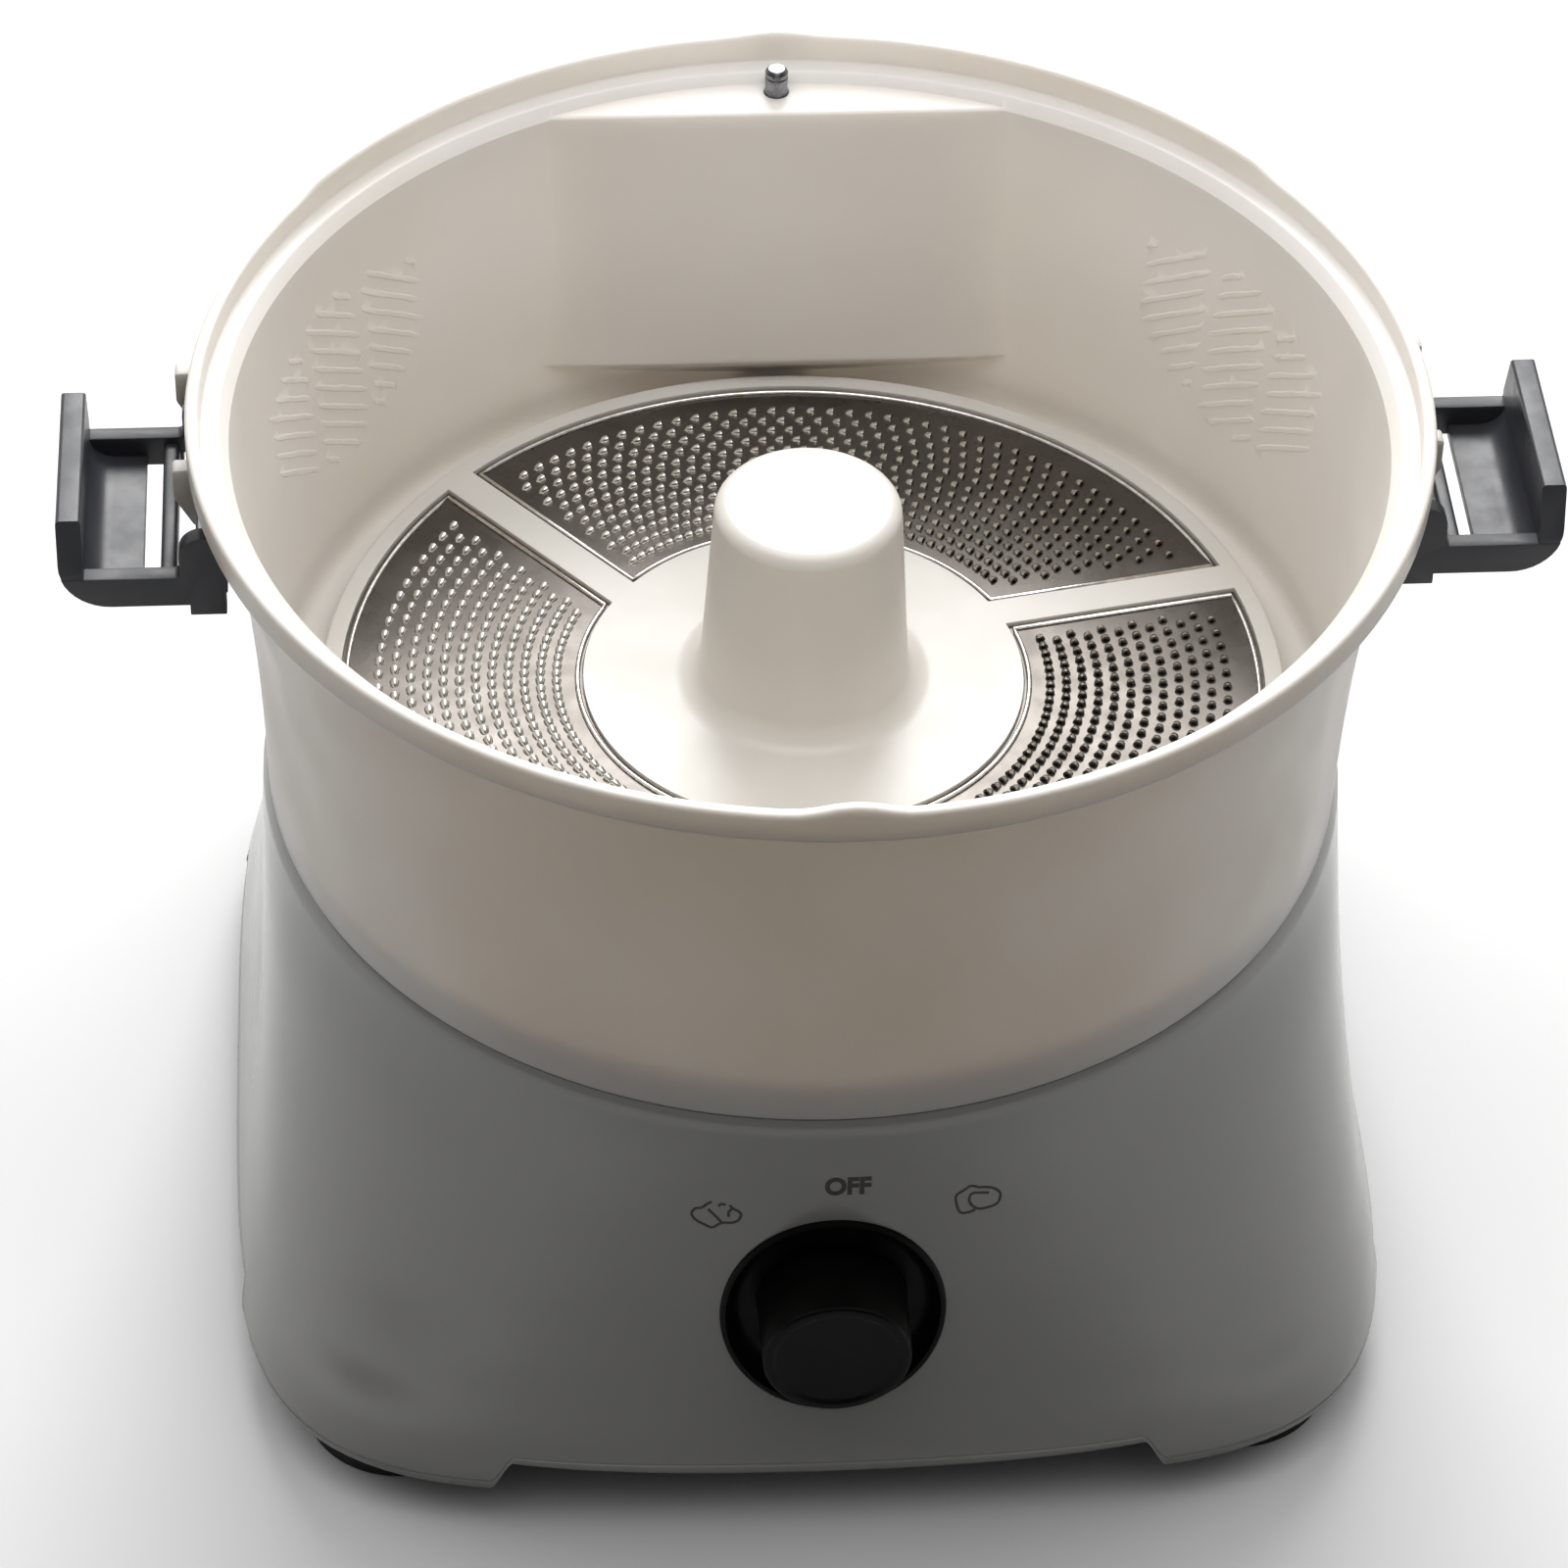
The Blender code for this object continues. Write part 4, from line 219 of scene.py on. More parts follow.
# Black rubber, moulded and matt: a rubber skin with a faint bloom, IOR 1.52
rubber = surface("moulded_black_rubber", ("161616", "1f1f1e"), 9, (0.62, 0.82), 0.9, 0.05, IOR=1.52)
for word, x, y in FEET:
    piece(f"foot_{word}_rubber", turned(softened(FOOT_CORNERS), 72), rubber, "base",
          [f"foot_{word}"], (x * FOOT_PLACE, y * FOOT_PLACE, 0))


# Bottom plate and its screws: a black polypropylene moulding that closes the base, held by four
# zinc-plated screws. Only the underside shows it, so the CAD solids stay.
# Moulded polypropylene with a spark-eroded grain, a dull black, IOR 1.49
black_grained = surface("grained_black_polypropylene", ("141414", "1b1b1b"), 25, (0.48, 0.62), 0.8, 0.04,
                        IOR=1.49)
# Zinc-plated steel, bright with a blotchy blue-grey passivation
zinc = surface("zinc_plated_steel", ("b9bcc0", "8f9499"), 4, (0.28, 0.45), 0.5, 0.004, Metallic=1.0)


def repaint(look, *names):
    """Gives CAD nodes that stay in view a better material in their slots."""
    for name in names:
        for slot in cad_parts[name].material_slots:
            slot.material = look


repaint(black_grained, "bottom_plate")
repaint(zinc, "base_screw_1", "base_screw_2", "base_screw_3", "base_screw_4")


# Drive: a motor on a steel plate turns the disc's spindle through two pairs of nylon gears. All
# but the top of the spindle and its bush is shut inside the base, so the hidden solids stay.

# Sintered brass bush, a warm satin metal
brass = surface("sintered_brass", ("c9a35c", "a98446"), 3, (0.3, 0.45), 0.4, 0.006, Metallic=1.0)
# Natural nylon, creamy and slightly glossy, IOR 1.53
nylon = surface("natural_nylon", ("e4dfcf", "d6cfba"), 12, (0.35, 0.5), 0.8, 0.01, IOR=1.53)
# Ground steel of the spindle and pins, polished round
ground_steel = surface("ground_steel", ("c8cacc", "a6a8ab"), 6, (0.16, 0.32), 0.35, 0.003, Metallic=1.0)
# Glass-fibre circuit board under green lacquer, IOR 1.5
board_green = surface("lacquered_circuit_board", ("1d5a2c", "174a25"), 5, (0.25, 0.45), 0.6, 0.02, IOR=1.5)
repaint(zinc, "gear_plate", "motor_can")
repaint(ground_steel, "idler_pin", "motor_shaft")
repaint(brass, "lower_bush", "motor_pinion", "switch_shaft")
repaint(nylon, "output_gear", "idler_gear")
repaint(board_green, "control_board")
repaint(black_grained, "rotary_switch", "safety_switch")

SPINDLE_LOW = 0.0178
SPINDLE_RADIUS = 0.004
DOG_TOP = 0.1642
DOG_FOOT = 0.1532
DOG_HALF_FLATS = 0.006
spindle = turned(softened(((0, SPINDLE_LOW, 0), (SPINDLE_RADIUS, SPINDLE_LOW, 0.0004),
                           (SPINDLE_RADIUS, DOG_FOOT + 0.002, 0), (0, DOG_FOOT + 0.002, 0))), 64)
dog_corner = DOG_HALF_FLATS / cos(pi / 6)
turned(softened(((0, DOG_FOOT, 0), (dog_corner, DOG_FOOT, 0.0005), (dog_corner, DOG_TOP, 0.0008),
                 (0, DOG_TOP, 0)), 3), 6, shape=spindle)
piece("spindle_with_drive_dog", spindle, ground_steel, "spindle", ["drive_spindle"])
bush_low, bush_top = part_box("upper_bush")
bush_collar = bush_top.z - 0.0012
bush_corners = [(0.0043, bush_low.z, 0.0002), (0.0065, bush_low.z, 0.0003), (0.0065, bush_collar, 0),
                (0.0081, bush_collar, 0.0002), (0.0081, bush_top.z, 0.0003), (0.0043, bush_top.z, 0.0004)]
piece("spindle_bush", turned(softened(bush_corners, 3, closed=True), 64, closed=True), brass, "base",
      ["upper_bush"])


# Base housing: one glossy ABS moulding that grows from a round collar under the bowl into a
# rounded square at the bottom, with a low notch in each side and a tower for the safety switch.
BASE_BOTTOM = 0.009
SEAM_Z = 0.104
BASE_COLLAR_RADIUS = 0.1108
BASE_HALF_SIDE = 0.1206
BASE_WALL = 0.0026
DECK_TOP = 0.0905
DECK_BOTTOM = 0.088
COLLAR_BORE = 0.1079
# The sleeve stands round the spindle's bush
SLEEVE_RADIUS = 0.0085
SLEEVE_BORE = 0.0068
SLEEVE_TOP = 0.120
NOTCH_HALF_LENGTH = 0.0688
NOTCH_HEIGHT = 0.0043
NOTCH_END_HEIGHT = 0.0078
NOTCH_EASE = 0.0048
NOTCH_FADE = 0.018
KNOB_Z = 0.054
DISH_RADIUS = 0.0225
DISH_TALL = 1.09
ROD_Y = 0.1116
ROD_BORE = 0.0027
# The safety switch's tower, its cavity and the channel above it lie one behind the other at the back
TOWER_HALF_WIDTH = 0.0105
TOWER_FOOT = 0.030
CAVITY_HALF_WIDTH = 0.0075
CAVITY_FRONT_Y = 0.1019
CHANNEL_HALF_WIDTH = 0.008
CHANNEL_FRONT_Y = 0.1088
CHANNEL_BACK_Y = 0.1178
GLAND_X, GLAND_Z = 0.045, 0.030
GLAND_HOLE = 0.0063
FINE_STEPS = 224
WALL_ROWS = 46
# Height share, flare share and squareness of the housing's outline
BASE_ROWS = ((0.000, 0.90, 4.50), (0.016, 1.00, 4.55), (0.105, 0.82, 4.75), (0.263, 0.53, 4.05),
             (0.447, 0.31, 3.22), (0.684, 0.13, 2.53), (0.985, 0.00, 2.00), (1.000, -0.12, 2.00))


def through(rows):
    """Function of a share that runs smoothly through a table's rows and never overshoots them."""
    places = [row[0] for row in rows]
    columns = list(zip(*rows))[1:]
    steps = [b - a for a, b in zip(places, places[1:])]
    leans = []
    for column in columns:
        slopes = [(b - a) / step for a, b, step in zip(column, column[1:], steps)]
        inner = [0 if a * b <= 0 else 2 * a * b / (a + b) for a, b in zip(slopes, slopes[1:])]
        leans.append([slopes[0]] + inner + [slopes[-1]])

    def at(share):
        share = min(max(share, places[0]), places[-1])
        i = min(bisect(places, share), len(steps)) - 1
        t = (share - places[i]) / steps[i]
        values = []
        for column, lean in zip(columns, leans):
            eased = column[i] + (column[i + 1] - column[i]) * t * t * (3 - 2 * t)
            values.append(eased + steps[i] * t * (1 - t) * (lean[i] * (1 - t) - lean[i + 1] * t))
        return values
    return at


base_rows = through(BASE_ROWS)


def base_section(z):
    """Half side and squareness of the housing at a height."""
    flare, squareness = base_rows((z - BASE_BOTTOM) / (SEAM_Z - BASE_BOTTOM))
    return BASE_COLLAR_RADIUS + flare * (BASE_HALF_SIDE - BASE_COLLAR_RADIUS), squareness


def base_point(angle, z, inset=0.0):
    """Point of the housing's outline in a direction at a height."""
    half_side, squareness = base_section(z)
    spread = abs(cos(angle)) ** squareness + abs(sin(angle)) ** squareness
    return Vector((*polar((half_side - inset) / spread ** (1 / squareness), angle), z))


def base_front_y(x, z):
    """Y of the housing's front face."""
    half_side, squareness = base_section(z)
    return -half_side * (1 - abs(x / half_side) ** squareness) ** (1 / squareness)


def notch_rise(point):
    """Height of the notch above a point of the bottom edge."""
    along = min(abs(point.x), abs(point.y))
    share = min(max((NOTCH_HALF_LENGTH - along) / NOTCH_EASE, 0.0), 1.0)
    height = NOTCH_HEIGHT + (NOTCH_END_HEIGHT - NOTCH_HEIGHT) * min(along / NOTCH_HALF_LENGTH, 1.0) ** 2
    return height * (1 - cos(pi * share)) / 2


def base_ring(angles, z, inset):
    """Ring of the housing's wall, lifted over the notches near the bottom edge."""
    ring = []
    for angle in angles:
        lift = notch_rise(base_point(angle, z, inset)) * max(0.0, 1 - (z - BASE_BOTTOM) / NOTCH_FADE)
        ring.append(base_point(angle, z + lift, inset))
    return ring


def final_shape(item, *helpers):
    """Mesh that an object has after its modifiers; the object and its helpers leave the scene."""
    graph = bpy.context.evaluated_depsgraph_get()
    mesh = bpy.data.meshes.new_from_object(item.evaluated_get(graph))
    for spent in (*helpers, item):
        bpy.data.objects.remove(spent)
    result = bmesh.new()
    result.from_mesh(mesh)
    bpy.data.meshes.remove(mesh)
    return result


def carved(shape, tools):
    """Mesh after each closed tool, given with its operation, has joined or cut it."""
    blocks = []
    for solid in [shape] + [tool for tool, _ in tools]:
        blocks.append(placed("carving", bpy.data.meshes.new("carving")))
        solid.to_mesh(blocks[-1].data)
        solid.free()
    for helper, (_, operation) in zip(blocks[1:], tools):
        modifier = blocks[0].modifiers.new("carve", "BOOLEAN")
        modifier.object = helper
        modifier.operation = operation
        modifier.solver = "EXACT"
    return final_shape(*blocks)


def prism(outline, low, high, axes="xyz", bevel=0.0):
    """Solid with a flat outline, from low to high along the third of the named axes."""
    shape = bmesh.new()
    order = ["xyz".index(letter) for letter in axes]
    rings = []
    for end in (low, high):
        rings.append([])
        for first, second in outline:
            point = [0, 0, 0]
            point[order[0]], point[order[1]], point[order[2]] = first, second, end
            rings[-1].append(point)
    loft(shape, rings)
    rims = [edge for edge in shape.edges if len(edge.link_faces) == 1]
    for end in (low, high):
        rim = [edge for edge in rims if all(abs(vertex.co[order[2]] - end) < 1e-7 for vertex in edge.verts)]
        bmesh.ops.contextual_create(shape, geom=rim)
    bmesh.ops.recalc_face_normals(shape, faces=shape.faces)
    if bevel:
        edges = [edge for edge in shape.edges if edge.calc_face_angle(0) > radians(40)]
        bmesh.ops.bevel(shape, geom=edges, offset=bevel, segments=2, profile=0.6, affect="EDGES",
                        clamp_overlap=True)
    return shape


def rod(radius, start, end, steps=48):
    """Plain round tool between two points along one axis."""
    start, end = Vector(start), Vector(end)
    shape = turned([(0, 0), (radius, 0), (radius, (end - start).length), (0, (end - start).length)], steps)
    turn = Vector((0, 0, 1)).rotation_difference(end - start).to_matrix().to_4x4()
    bmesh.ops.transform(shape, matrix=Matrix.Translation(start) @ turn, verts=shape.verts)
    return shape


# Azimuths of the wall's points: even all round, and close together at the ends of the notches
NOTCH_STEPS = 18
NOTCH_PLANE = 0.1195
azimuths = {round(2 * pi * i / FINE_STEPS, 6) for i in range(FINE_STEPS)}
for side in range(4):
    for sign in (-1, 1):
        for i in range(NOTCH_STEPS + 1):
            along = NOTCH_HALF_LENGTH + 0.0006 - i * (NOTCH_EASE + 0.0012) / NOTCH_STEPS
            from_middle = sign * atan2(along, NOTCH_PLANE)
            azimuths.add(round((side * pi / 2 + from_middle) % (2 * pi), 6))
azimuths = sorted(azimuths)
base_angles = [a for a, b in zip(azimuths, azimuths[1:] + [10]) if b - a > 0.0015]
# Rise and inset of the rounded bottom edge and of the fine groove above it
EDGE_ROWS = ((0.0, 0.0011), (0.00015, 0.0006), (0.0005, 0.0002), (0.0011, 0.0), (0.0026, 0.0),
             (0.0029, 0.00022), (0.0032, 0.00022), (0.0035, 0.0))
rings = [base_ring(base_angles, BASE_BOTTOM + rise, inset) for rise, inset in EDGE_ROWS]
wall_start = BASE_BOTTOM + EDGE_ROWS[-1][0]
for i in range(1, WALL_ROWS + 1):
    rings.append(base_ring(base_angles, wall_start + (SEAM_Z - wall_start) * i / WALL_ROWS, 0))
housing_inside = softened((
    (COLLAR_BORE + 0.001, SEAM_Z, 0), (COLLAR_BORE, SEAM_Z, 0.0005), (COLLAR_BORE, DECK_TOP, 0.0012),
    (SLEEVE_RADIUS, DECK_TOP, 0.0015), (SLEEVE_RADIUS, SLEEVE_TOP, 0.0005), (SLEEVE_BORE, SLEEVE_TOP, 0.0003),
    (SLEEVE_BORE, DECK_BOTTOM, 0)), 4)
for radius, z in housing_inside:
    rings.append([(*polar(radius, angle), z) for angle in base_angles])
for z in (DECK_BOTTOM, 0.075, 0.06, 0.045, 0.03, 0.02, 0.0125, BASE_BOTTOM):
    rings.append(base_ring(base_angles, z, BASE_WALL))
tower_start = hypot(COLLAR_BORE, TOWER_HALF_WIDTH)
tower_outline = softened(((-TOWER_HALF_WIDTH, tower_start, 0), (0, tower_start + 0.0004, 0),
                          (TOWER_HALF_WIDTH, tower_start, 0), (TOWER_HALF_WIDTH, CHANNEL_BACK_Y, 0.002),
                          (-TOWER_HALF_WIDTH, CHANNEL_BACK_Y, 0.002)), 5, closed=True)
cavity_back = CHANNEL_BACK_Y - 0.0018
cavity_outline = [(-CAVITY_HALF_WIDTH, CAVITY_FRONT_Y), (CAVITY_HALF_WIDTH, CAVITY_FRONT_Y),
                  (CAVITY_HALF_WIDTH, cavity_back), (-CAVITY_HALF_WIDTH, cavity_back)]
dish_hole = rod(DISH_RADIUS - 0.0006, (0, -0.128, KNOB_Z), (0, -0.1076, KNOB_Z), 96)
for vertex in dish_hole.verts:
    vertex.co.z = KNOB_Z + DISH_TALL * (vertex.co.z - KNOB_Z)
housing = carved(loft(bmesh.new(), rings, closed=True), [
    (prism(tower_outline, TOWER_FOOT, SEAM_Z, bevel=0.0004), "UNION"),
    (prism(cavity_outline, TOWER_FOOT + 0.003, DECK_BOTTOM - 0.0005), "DIFFERENCE"),
    (rod(ROD_BORE, (0, ROD_Y, DECK_BOTTOM), (0, ROD_Y, SEAM_Z + 0.002), 32), "DIFFERENCE"),
    (dish_hole, "DIFFERENCE"),
    (rod(GLAND_HOLE, (GLAND_X, 0.105, GLAND_Z), (GLAND_X, 0.126, GLAND_Z), 48), "DIFFERENCE")])
# Glossy grey-white ABS: mirror-like where it turns away, with faint flow marks, IOR 1.54
glossy_abs = surface("glossy_abs", ("b2b1ae", "acaba7"), 60, (0.14, 0.18), 2.5, 0.008, IOR=1.54)
piece("base_housing_moulding", housing, glossy_abs, "base", ["base_housing"])


# Dish around the knob: a black ABS moulding pressed into the housing, whose thin lip follows the
# curved face while its hollow is turned about the knob's axis.
DISH_PLANE_Y = base_front_y(0, KNOB_Z)
DISH_FLOOR_Y = DISH_PLANE_Y + 0.004
DISH_WALL = 0.002
DISH_STEPS = 96
SHAFT_HOLE = 0.0034


def dish_ring(radius, proud, sunk=0.0, behind=0.0):
    """Ring about the knob's axis, proud of the face, then sunk by a share of the way to the floor."""
    ring = []
    for x, rise in circle(radius, DISH_STEPS):
        z = KNOB_Z + DISH_TALL * rise
        face_y = base_front_y(x, z) - proud
        ring.append((x, face_y + (DISH_FLOOR_Y - face_y) * sunk + behind, z))
    return ring


# The lip's inset from the dish's radius, and how proud of the face it is
LIP_ROWS = ((0.0, 0.0001), (0.0001, 0.0006), (0.0004, 0.0008), (0.0011, 0.0007))
dish_rings = [dish_ring(DISH_RADIUS - inset, proud) for inset, proud in LIP_ROWS]
lip_inset, lip_proud = LIP_ROWS[-1]
for share in [i / 8 for i in range(1, 9)]:
    dish_rings.append(dish_ring(DISH_RADIUS - lip_inset - 0.0036 * share ** 1.3, lip_proud,
                                sin(share * pi / 2)))
dish_rings += [dish_ring(SHAFT_HOLE, 0, 1), dish_ring(SHAFT_HOLE, 0, 1, DISH_WALL),
               dish_ring(DISH_RADIUS - 0.0010, 0, 1, DISH_WALL)]
# Black ABS with a satin tool finish, IOR 1.54
black_satin = surface("satin_black_abs", ("080807", "0c0c0b"), 18, (0.34, 0.46), 0.8, 0.012, IOR=1.54,
                      Specular_IOR_Level=0.10)
piece("knob_dish_moulding", loft(bmesh.new(), dish_rings, closed=True), black_satin, "base",
      ["knob_dish"])


# Control knob: a plain black ABS knob, moulded with a soft front edge and a slightly sunk face,
# and pressed on the switch's shaft.
KNOB_RADIUS = 0.015
KNOB_FACE = -(DISH_PLANE_Y - 0.013)
KNOB_BACK = -(DISH_FLOOR_Y - 0.0003)
# Radius, length and corner radius from the sunk face round to the shaft's bore
knob_corners = ((0, KNOB_FACE - 0.0006, 0), (0.0120, KNOB_FACE - 0.0006, 0.0010), (0.0129, KNOB_FACE, 0.0006),
                (0.0147, KNOB_FACE, 0.0011), (KNOB_RADIUS, KNOB_BACK, 0.0003), (0.0033, KNOB_BACK, 0.0002),
                (0.0033, KNOB_BACK + 0.010, 0), (0, KNOB_BACK + 0.010, 0))
facing_front = Matrix.Rotation(pi / 2, 4, "X")
piece("control_knob_moulding", turned(softened(knob_corners), 96), black_satin, "knob",
      ["control_knob"], (0, 0, KNOB_Z), facing_front)


# Print on the housing: the word for the knob's middle position and two outline signs, a leaf of
# salad and two potatoes, pad-printed in dark ink that follows the curved face.
PRINT_HALF_DEPTH = 0.00006
PRINT_LINE = 0.00055


def on_face(shape, x, z):
    """Lays a flat drawing on the housing's face, its middle at a place across and up."""
    for vertex in shape.verts:
        u, v, depth = vertex.co
        vertex.co = (x + u, base_front_y(x + u, z + v) - depth, z + v)
    bmesh.ops.recalc_face_normals(shape, faces=shape.faces)
    return shape


def ink_line(shape, points):
    """Line of ink through flat points, as a thin strip with square edges."""
    rings = []
    for before, point, after in zip([points[0]] + points, points, points[1:] + [points[-1]]):
        along = (after - before).normalized()
        side = Vector((-along.y, along.x)) * PRINT_LINE / 2
        a, b = point + side, point - side
        rings.append([(*a, PRINT_HALF_DEPTH), (*b, PRINT_HALF_DEPTH), (*b, -PRINT_HALF_DEPTH),
                      (*a, -PRINT_HALF_DEPTH)])
    loft(shape, rings, ends=True)


def drawn(points, steps=6):
    """Smooth line through flat points in millimetres."""
    points = [Vector(point) / 1000 for point in points]
    line = []
    for before, start, end, after in zip([points[0]] + points, points, points[1:], points[2:] + [points[-1]]):
        for t in [k / steps for k in range(steps)]:
            line.append((2 * start + (end - before) * t + (2 * before - 5 * start + 4 * end - after) * t ** 2
                         + (3 * start - before - 3 * end + after) * t ** 3) / 2)
    return line + [points[-1]]


# Pad-printing ink, a matt dark grey
ink = surface("dark_printing_ink", ("2c2825", "332e2a"), 3, (0.45, 0.6), 0.5, 0.003, IOR=1.5)
letters = bpy.data.curves.new("letters", "FONT")
letters.body = "OFF"
letters.size = 0.0061
letters.extrude = PRINT_HALF_DEPTH
letters.offset = 0.00026
letters.align_x = "CENTER"
letters.align_y = "CENTER"
off_word = final_shape(placed("letters", letters))
bmesh.ops.remove_doubles(off_word, verts=off_word.verts, dist=1e-6)
bmesh.ops.scale(off_word, vec=(0.84, 1, 1), verts=off_word.verts)
piece("print_off", on_face(off_word, 0.0022, 0.0874), ink, "base")
# Lines of each sign in millimetres from its middle
SALAD_SIGN = (((-0.9, 3.2), (-1.8, 2.6), (-2.8, 1.6), (-4.1, 1.2), (-4.8, -0.1), (-4.0, -1.6), (-2.2, -2.7),
               (-0.7, -3.3), (1.0, -2.1), (3.1, -1.9), (4.3, -1.2), (4.8, 0.2), (4.3, 1.1), (3.3, 1.7),
               (2.6, 2.6)),
              ((-1.6, 1.3), (-0.2, -0.3), (1.0, -1.9)), ((0.4, 2.2), (1.0, 2.8), (1.8, 2.6)),
              ((3.0, 1.6), (2.4, 0.8), (2.4, -0.4)))
POTATO_SIGN = (((-0.2, 2.9), (-1.6, 3.3), (-2.9, 2.4), (-4.3, 1.4), (-4.2, -0.7), (-3.4, -3.0), (-1.8, -3.3),
                (-0.4, -2.8)),
               ((-0.2, 2.7), (1.3, 2.5), (3.2, 1.8), (4.5, 0.2), (4.0, -2.0), (2.0, -2.7), (0.2, -2.7),
                (-1.1, -1.6), (-1.7, -0.1), (-1.2, 1.3), (0.4, 1.3), (2.2, 0.9)))
for sign, lines, x, z in (("salad", SALAD_SIGN, -0.0233, 0.0799), ("potato", POTATO_SIGN, 0.0279, 0.0814)):
    drawing = bmesh.new()
    for points in lines:
        ink_line(drawing, drawn(points))
    piece(f"print_{sign}_sign", on_face(drawing, x, z), ink, "base")


# Cord gland: a black polyamide strain relief clipped in the back of the housing. The mains cord
# isn't part of the model, so its socket is open.
gland_tail, gland_end = [corner.y - AXIS_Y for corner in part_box("cord_gland")]
gland_face = gland_end - 0.007
SOCKET_RADIUS = 0.0036
SOCKET_DEPTH = 0.0065
gland_corners = [(0, gland_end - SOCKET_DEPTH, 0), (SOCKET_RADIUS, gland_end - SOCKET_DEPTH, 0),
                 (SOCKET_RADIUS, gland_end, 0.0005), (0.0053, gland_end, 0.0006)]
for i in range(3):
    ring_at = gland_end - 0.0010 - i * 0.0011
    gland_corners += [(0.0056 + i * 0.0006, ring_at, 0.0002), (0.0052 + i * 0.0006, ring_at - 0.0004, 0.0001)]
gland_corners += [(0.0085, gland_face + 0.0028, 0.0006), (0.0085, gland_face, 0.0003),
                  (0.0060, gland_face, 0), (0.0060, gland_tail, 0.0005), (0, gland_tail, 0)]
# Black polyamide with a fine grain, IOR 1.53
black_nylon = surface("black_polyamide", ("131313", "1a1a1a"), 10, (0.42, 0.55), 0.7, 0.02, IOR=1.53)
piece("cord_gland_moulding", turned(softened(gland_corners, 3), 64), black_nylon, "base",
      ["cord_gland"], (GLAND_X, 0, GLAND_Z), Matrix.Rotation(-pi / 2, 4, "X"))


# Bowl: an off-white polypropylene moulding, slightly see-through, with a collar under its lip, a
# ledge for the lid, a flat-fronted pocket and a channel for the interlock rod, and two pairs of lugs.
LIP_TOP = 0.195
LIP_RADIUS = 0.1225
LIP_INNER = 0.1198
COLLAR_BOTTOM = 0.1887
LEDGE_Z = 0.190
LEDGE_RADIUS = 0.1163
WALL_FOOT_Z = 0.1043
WALL_FOOT_RADIUS = 0.1098
WALL_TOP_RADIUS = 0.1165
BOWL_WALL = 0.0022
FLOOR_TOP = 0.113
SHELF_Z = 0.188
SPIGOT_RADIUS = 0.1076
SPIGOT_BORE = 0.1056
SPIGOT_FOOT = 0.092
FLOOR_BOTTOM = 0.1108
CHIMNEY_RADIUS = 0.011
CHIMNEY_BORE = 0.009
CHIMNEY_TOP = 0.150
LIP_BUMPS = ((-pi / 2, 0.0020), (pi / 2, 0.0010))
LIP_BUMP_HALF = 0.012
LIP_ARC = (radians(34), radians(146))
LIP_ARC_RISE = 0.0012
wall_rows = through(((0.00, 0.00), (0.18, 0.05), (0.37, 0.15), (0.60, 0.37), (0.78, 0.66), (1.00, 1.00)))


def wall_radius(z):
    """Outside radius of the bowl's wall at a height."""
    share = wall_rows((z - WALL_FOOT_Z) / (COLLAR_BOTTOM - WALL_FOOT_Z))[0]
    return WALL_FOOT_RADIUS + share * (WALL_TOP_RADIUS - WALL_FOOT_RADIUS)


def lip_rise(angle):
    """How far the lip stands up at an azimuth: front and rear bumps, and the raised rear arc."""
    rise = 0.0
    for middle, height in LIP_BUMPS:
        share = abs(angle - middle) * LIP_RADIUS / LIP_BUMP_HALF
        if share < 1:
            rise += height * cos(share * pi / 2) ** 2
    into_arc = min(angle - LIP_ARC[0], LIP_ARC[1] - angle) / radians(3)
    share = min(max(into_arc, 0.0), 1.0)
    return rise + LIP_ARC_RISE * share * share * (3 - 2 * share)


WALL_POINTS = 30
wall_heights = [COLLAR_BOTTOM - 0.0012 - (COLLAR_BOTTOM - WALL_FOOT_Z - 0.0018) * i / WALL_POINTS
                for i in range(WALL_POINTS + 1)]
inner_heights = [z for z in reversed(wall_heights) if z > FLOOR_TOP + 0.005]
bowl_corners = [
    (LIP_INNER, LIP_TOP, 0.0007), (LIP_RADIUS, LIP_TOP, 0.0010), (LIP_RADIUS, COLLAR_BOTTOM, 0.0007),
    (WALL_TOP_RADIUS, COLLAR_BOTTOM, 0.0009), *[(wall_radius(z), z, 0) for z in wall_heights],
    (WALL_FOOT_RADIUS, WALL_FOOT_Z, 0.0004), (SPIGOT_RADIUS, WALL_FOOT_Z, 0),
    (SPIGOT_RADIUS, SPIGOT_FOOT, 0.0005), (SPIGOT_BORE, SPIGOT_FOOT, 0.0005),
    (SPIGOT_BORE, FLOOR_BOTTOM, 0.0015), (CHIMNEY_BORE, FLOOR_BOTTOM, 0), (CHIMNEY_BORE, CHIMNEY_TOP, 0.0004),
    (CHIMNEY_RADIUS, CHIMNEY_TOP, 0.0006), (CHIMNEY_RADIUS, FLOOR_TOP, 0.0020),
    (wall_radius(FLOOR_TOP) - BOWL_WALL, FLOOR_TOP, 0.0040),
    *[(wall_radius(z) - BOWL_WALL, z, 0) for z in inner_heights],
    (LEDGE_RADIUS, LEDGE_Z, 0.0007), (LIP_INNER, LEDGE_Z, 0.0005)]
bowl = turned(softened(bowl_corners, 4, closed=True), FINE_STEPS, closed=True)
for vertex in bowl.verts:
    lifted = (vertex.co.z - LIP_TOP) / 0.0025 + 1
    if lifted > 0 and hypot(vertex.co.x, vertex.co.y) > LIP_INNER - 0.001:
        vertex.co.z += lip_rise(atan2(vertex.co.y, vertex.co.x)) * min(lifted, 1.0)


def wall_reach(z, aside, depth):
    """How far out the wall is at a height, measured beside the axis and at a depth from its outside."""
    radius = wall_radius(z) - depth
    return sqrt(radius * radius - aside * aside)


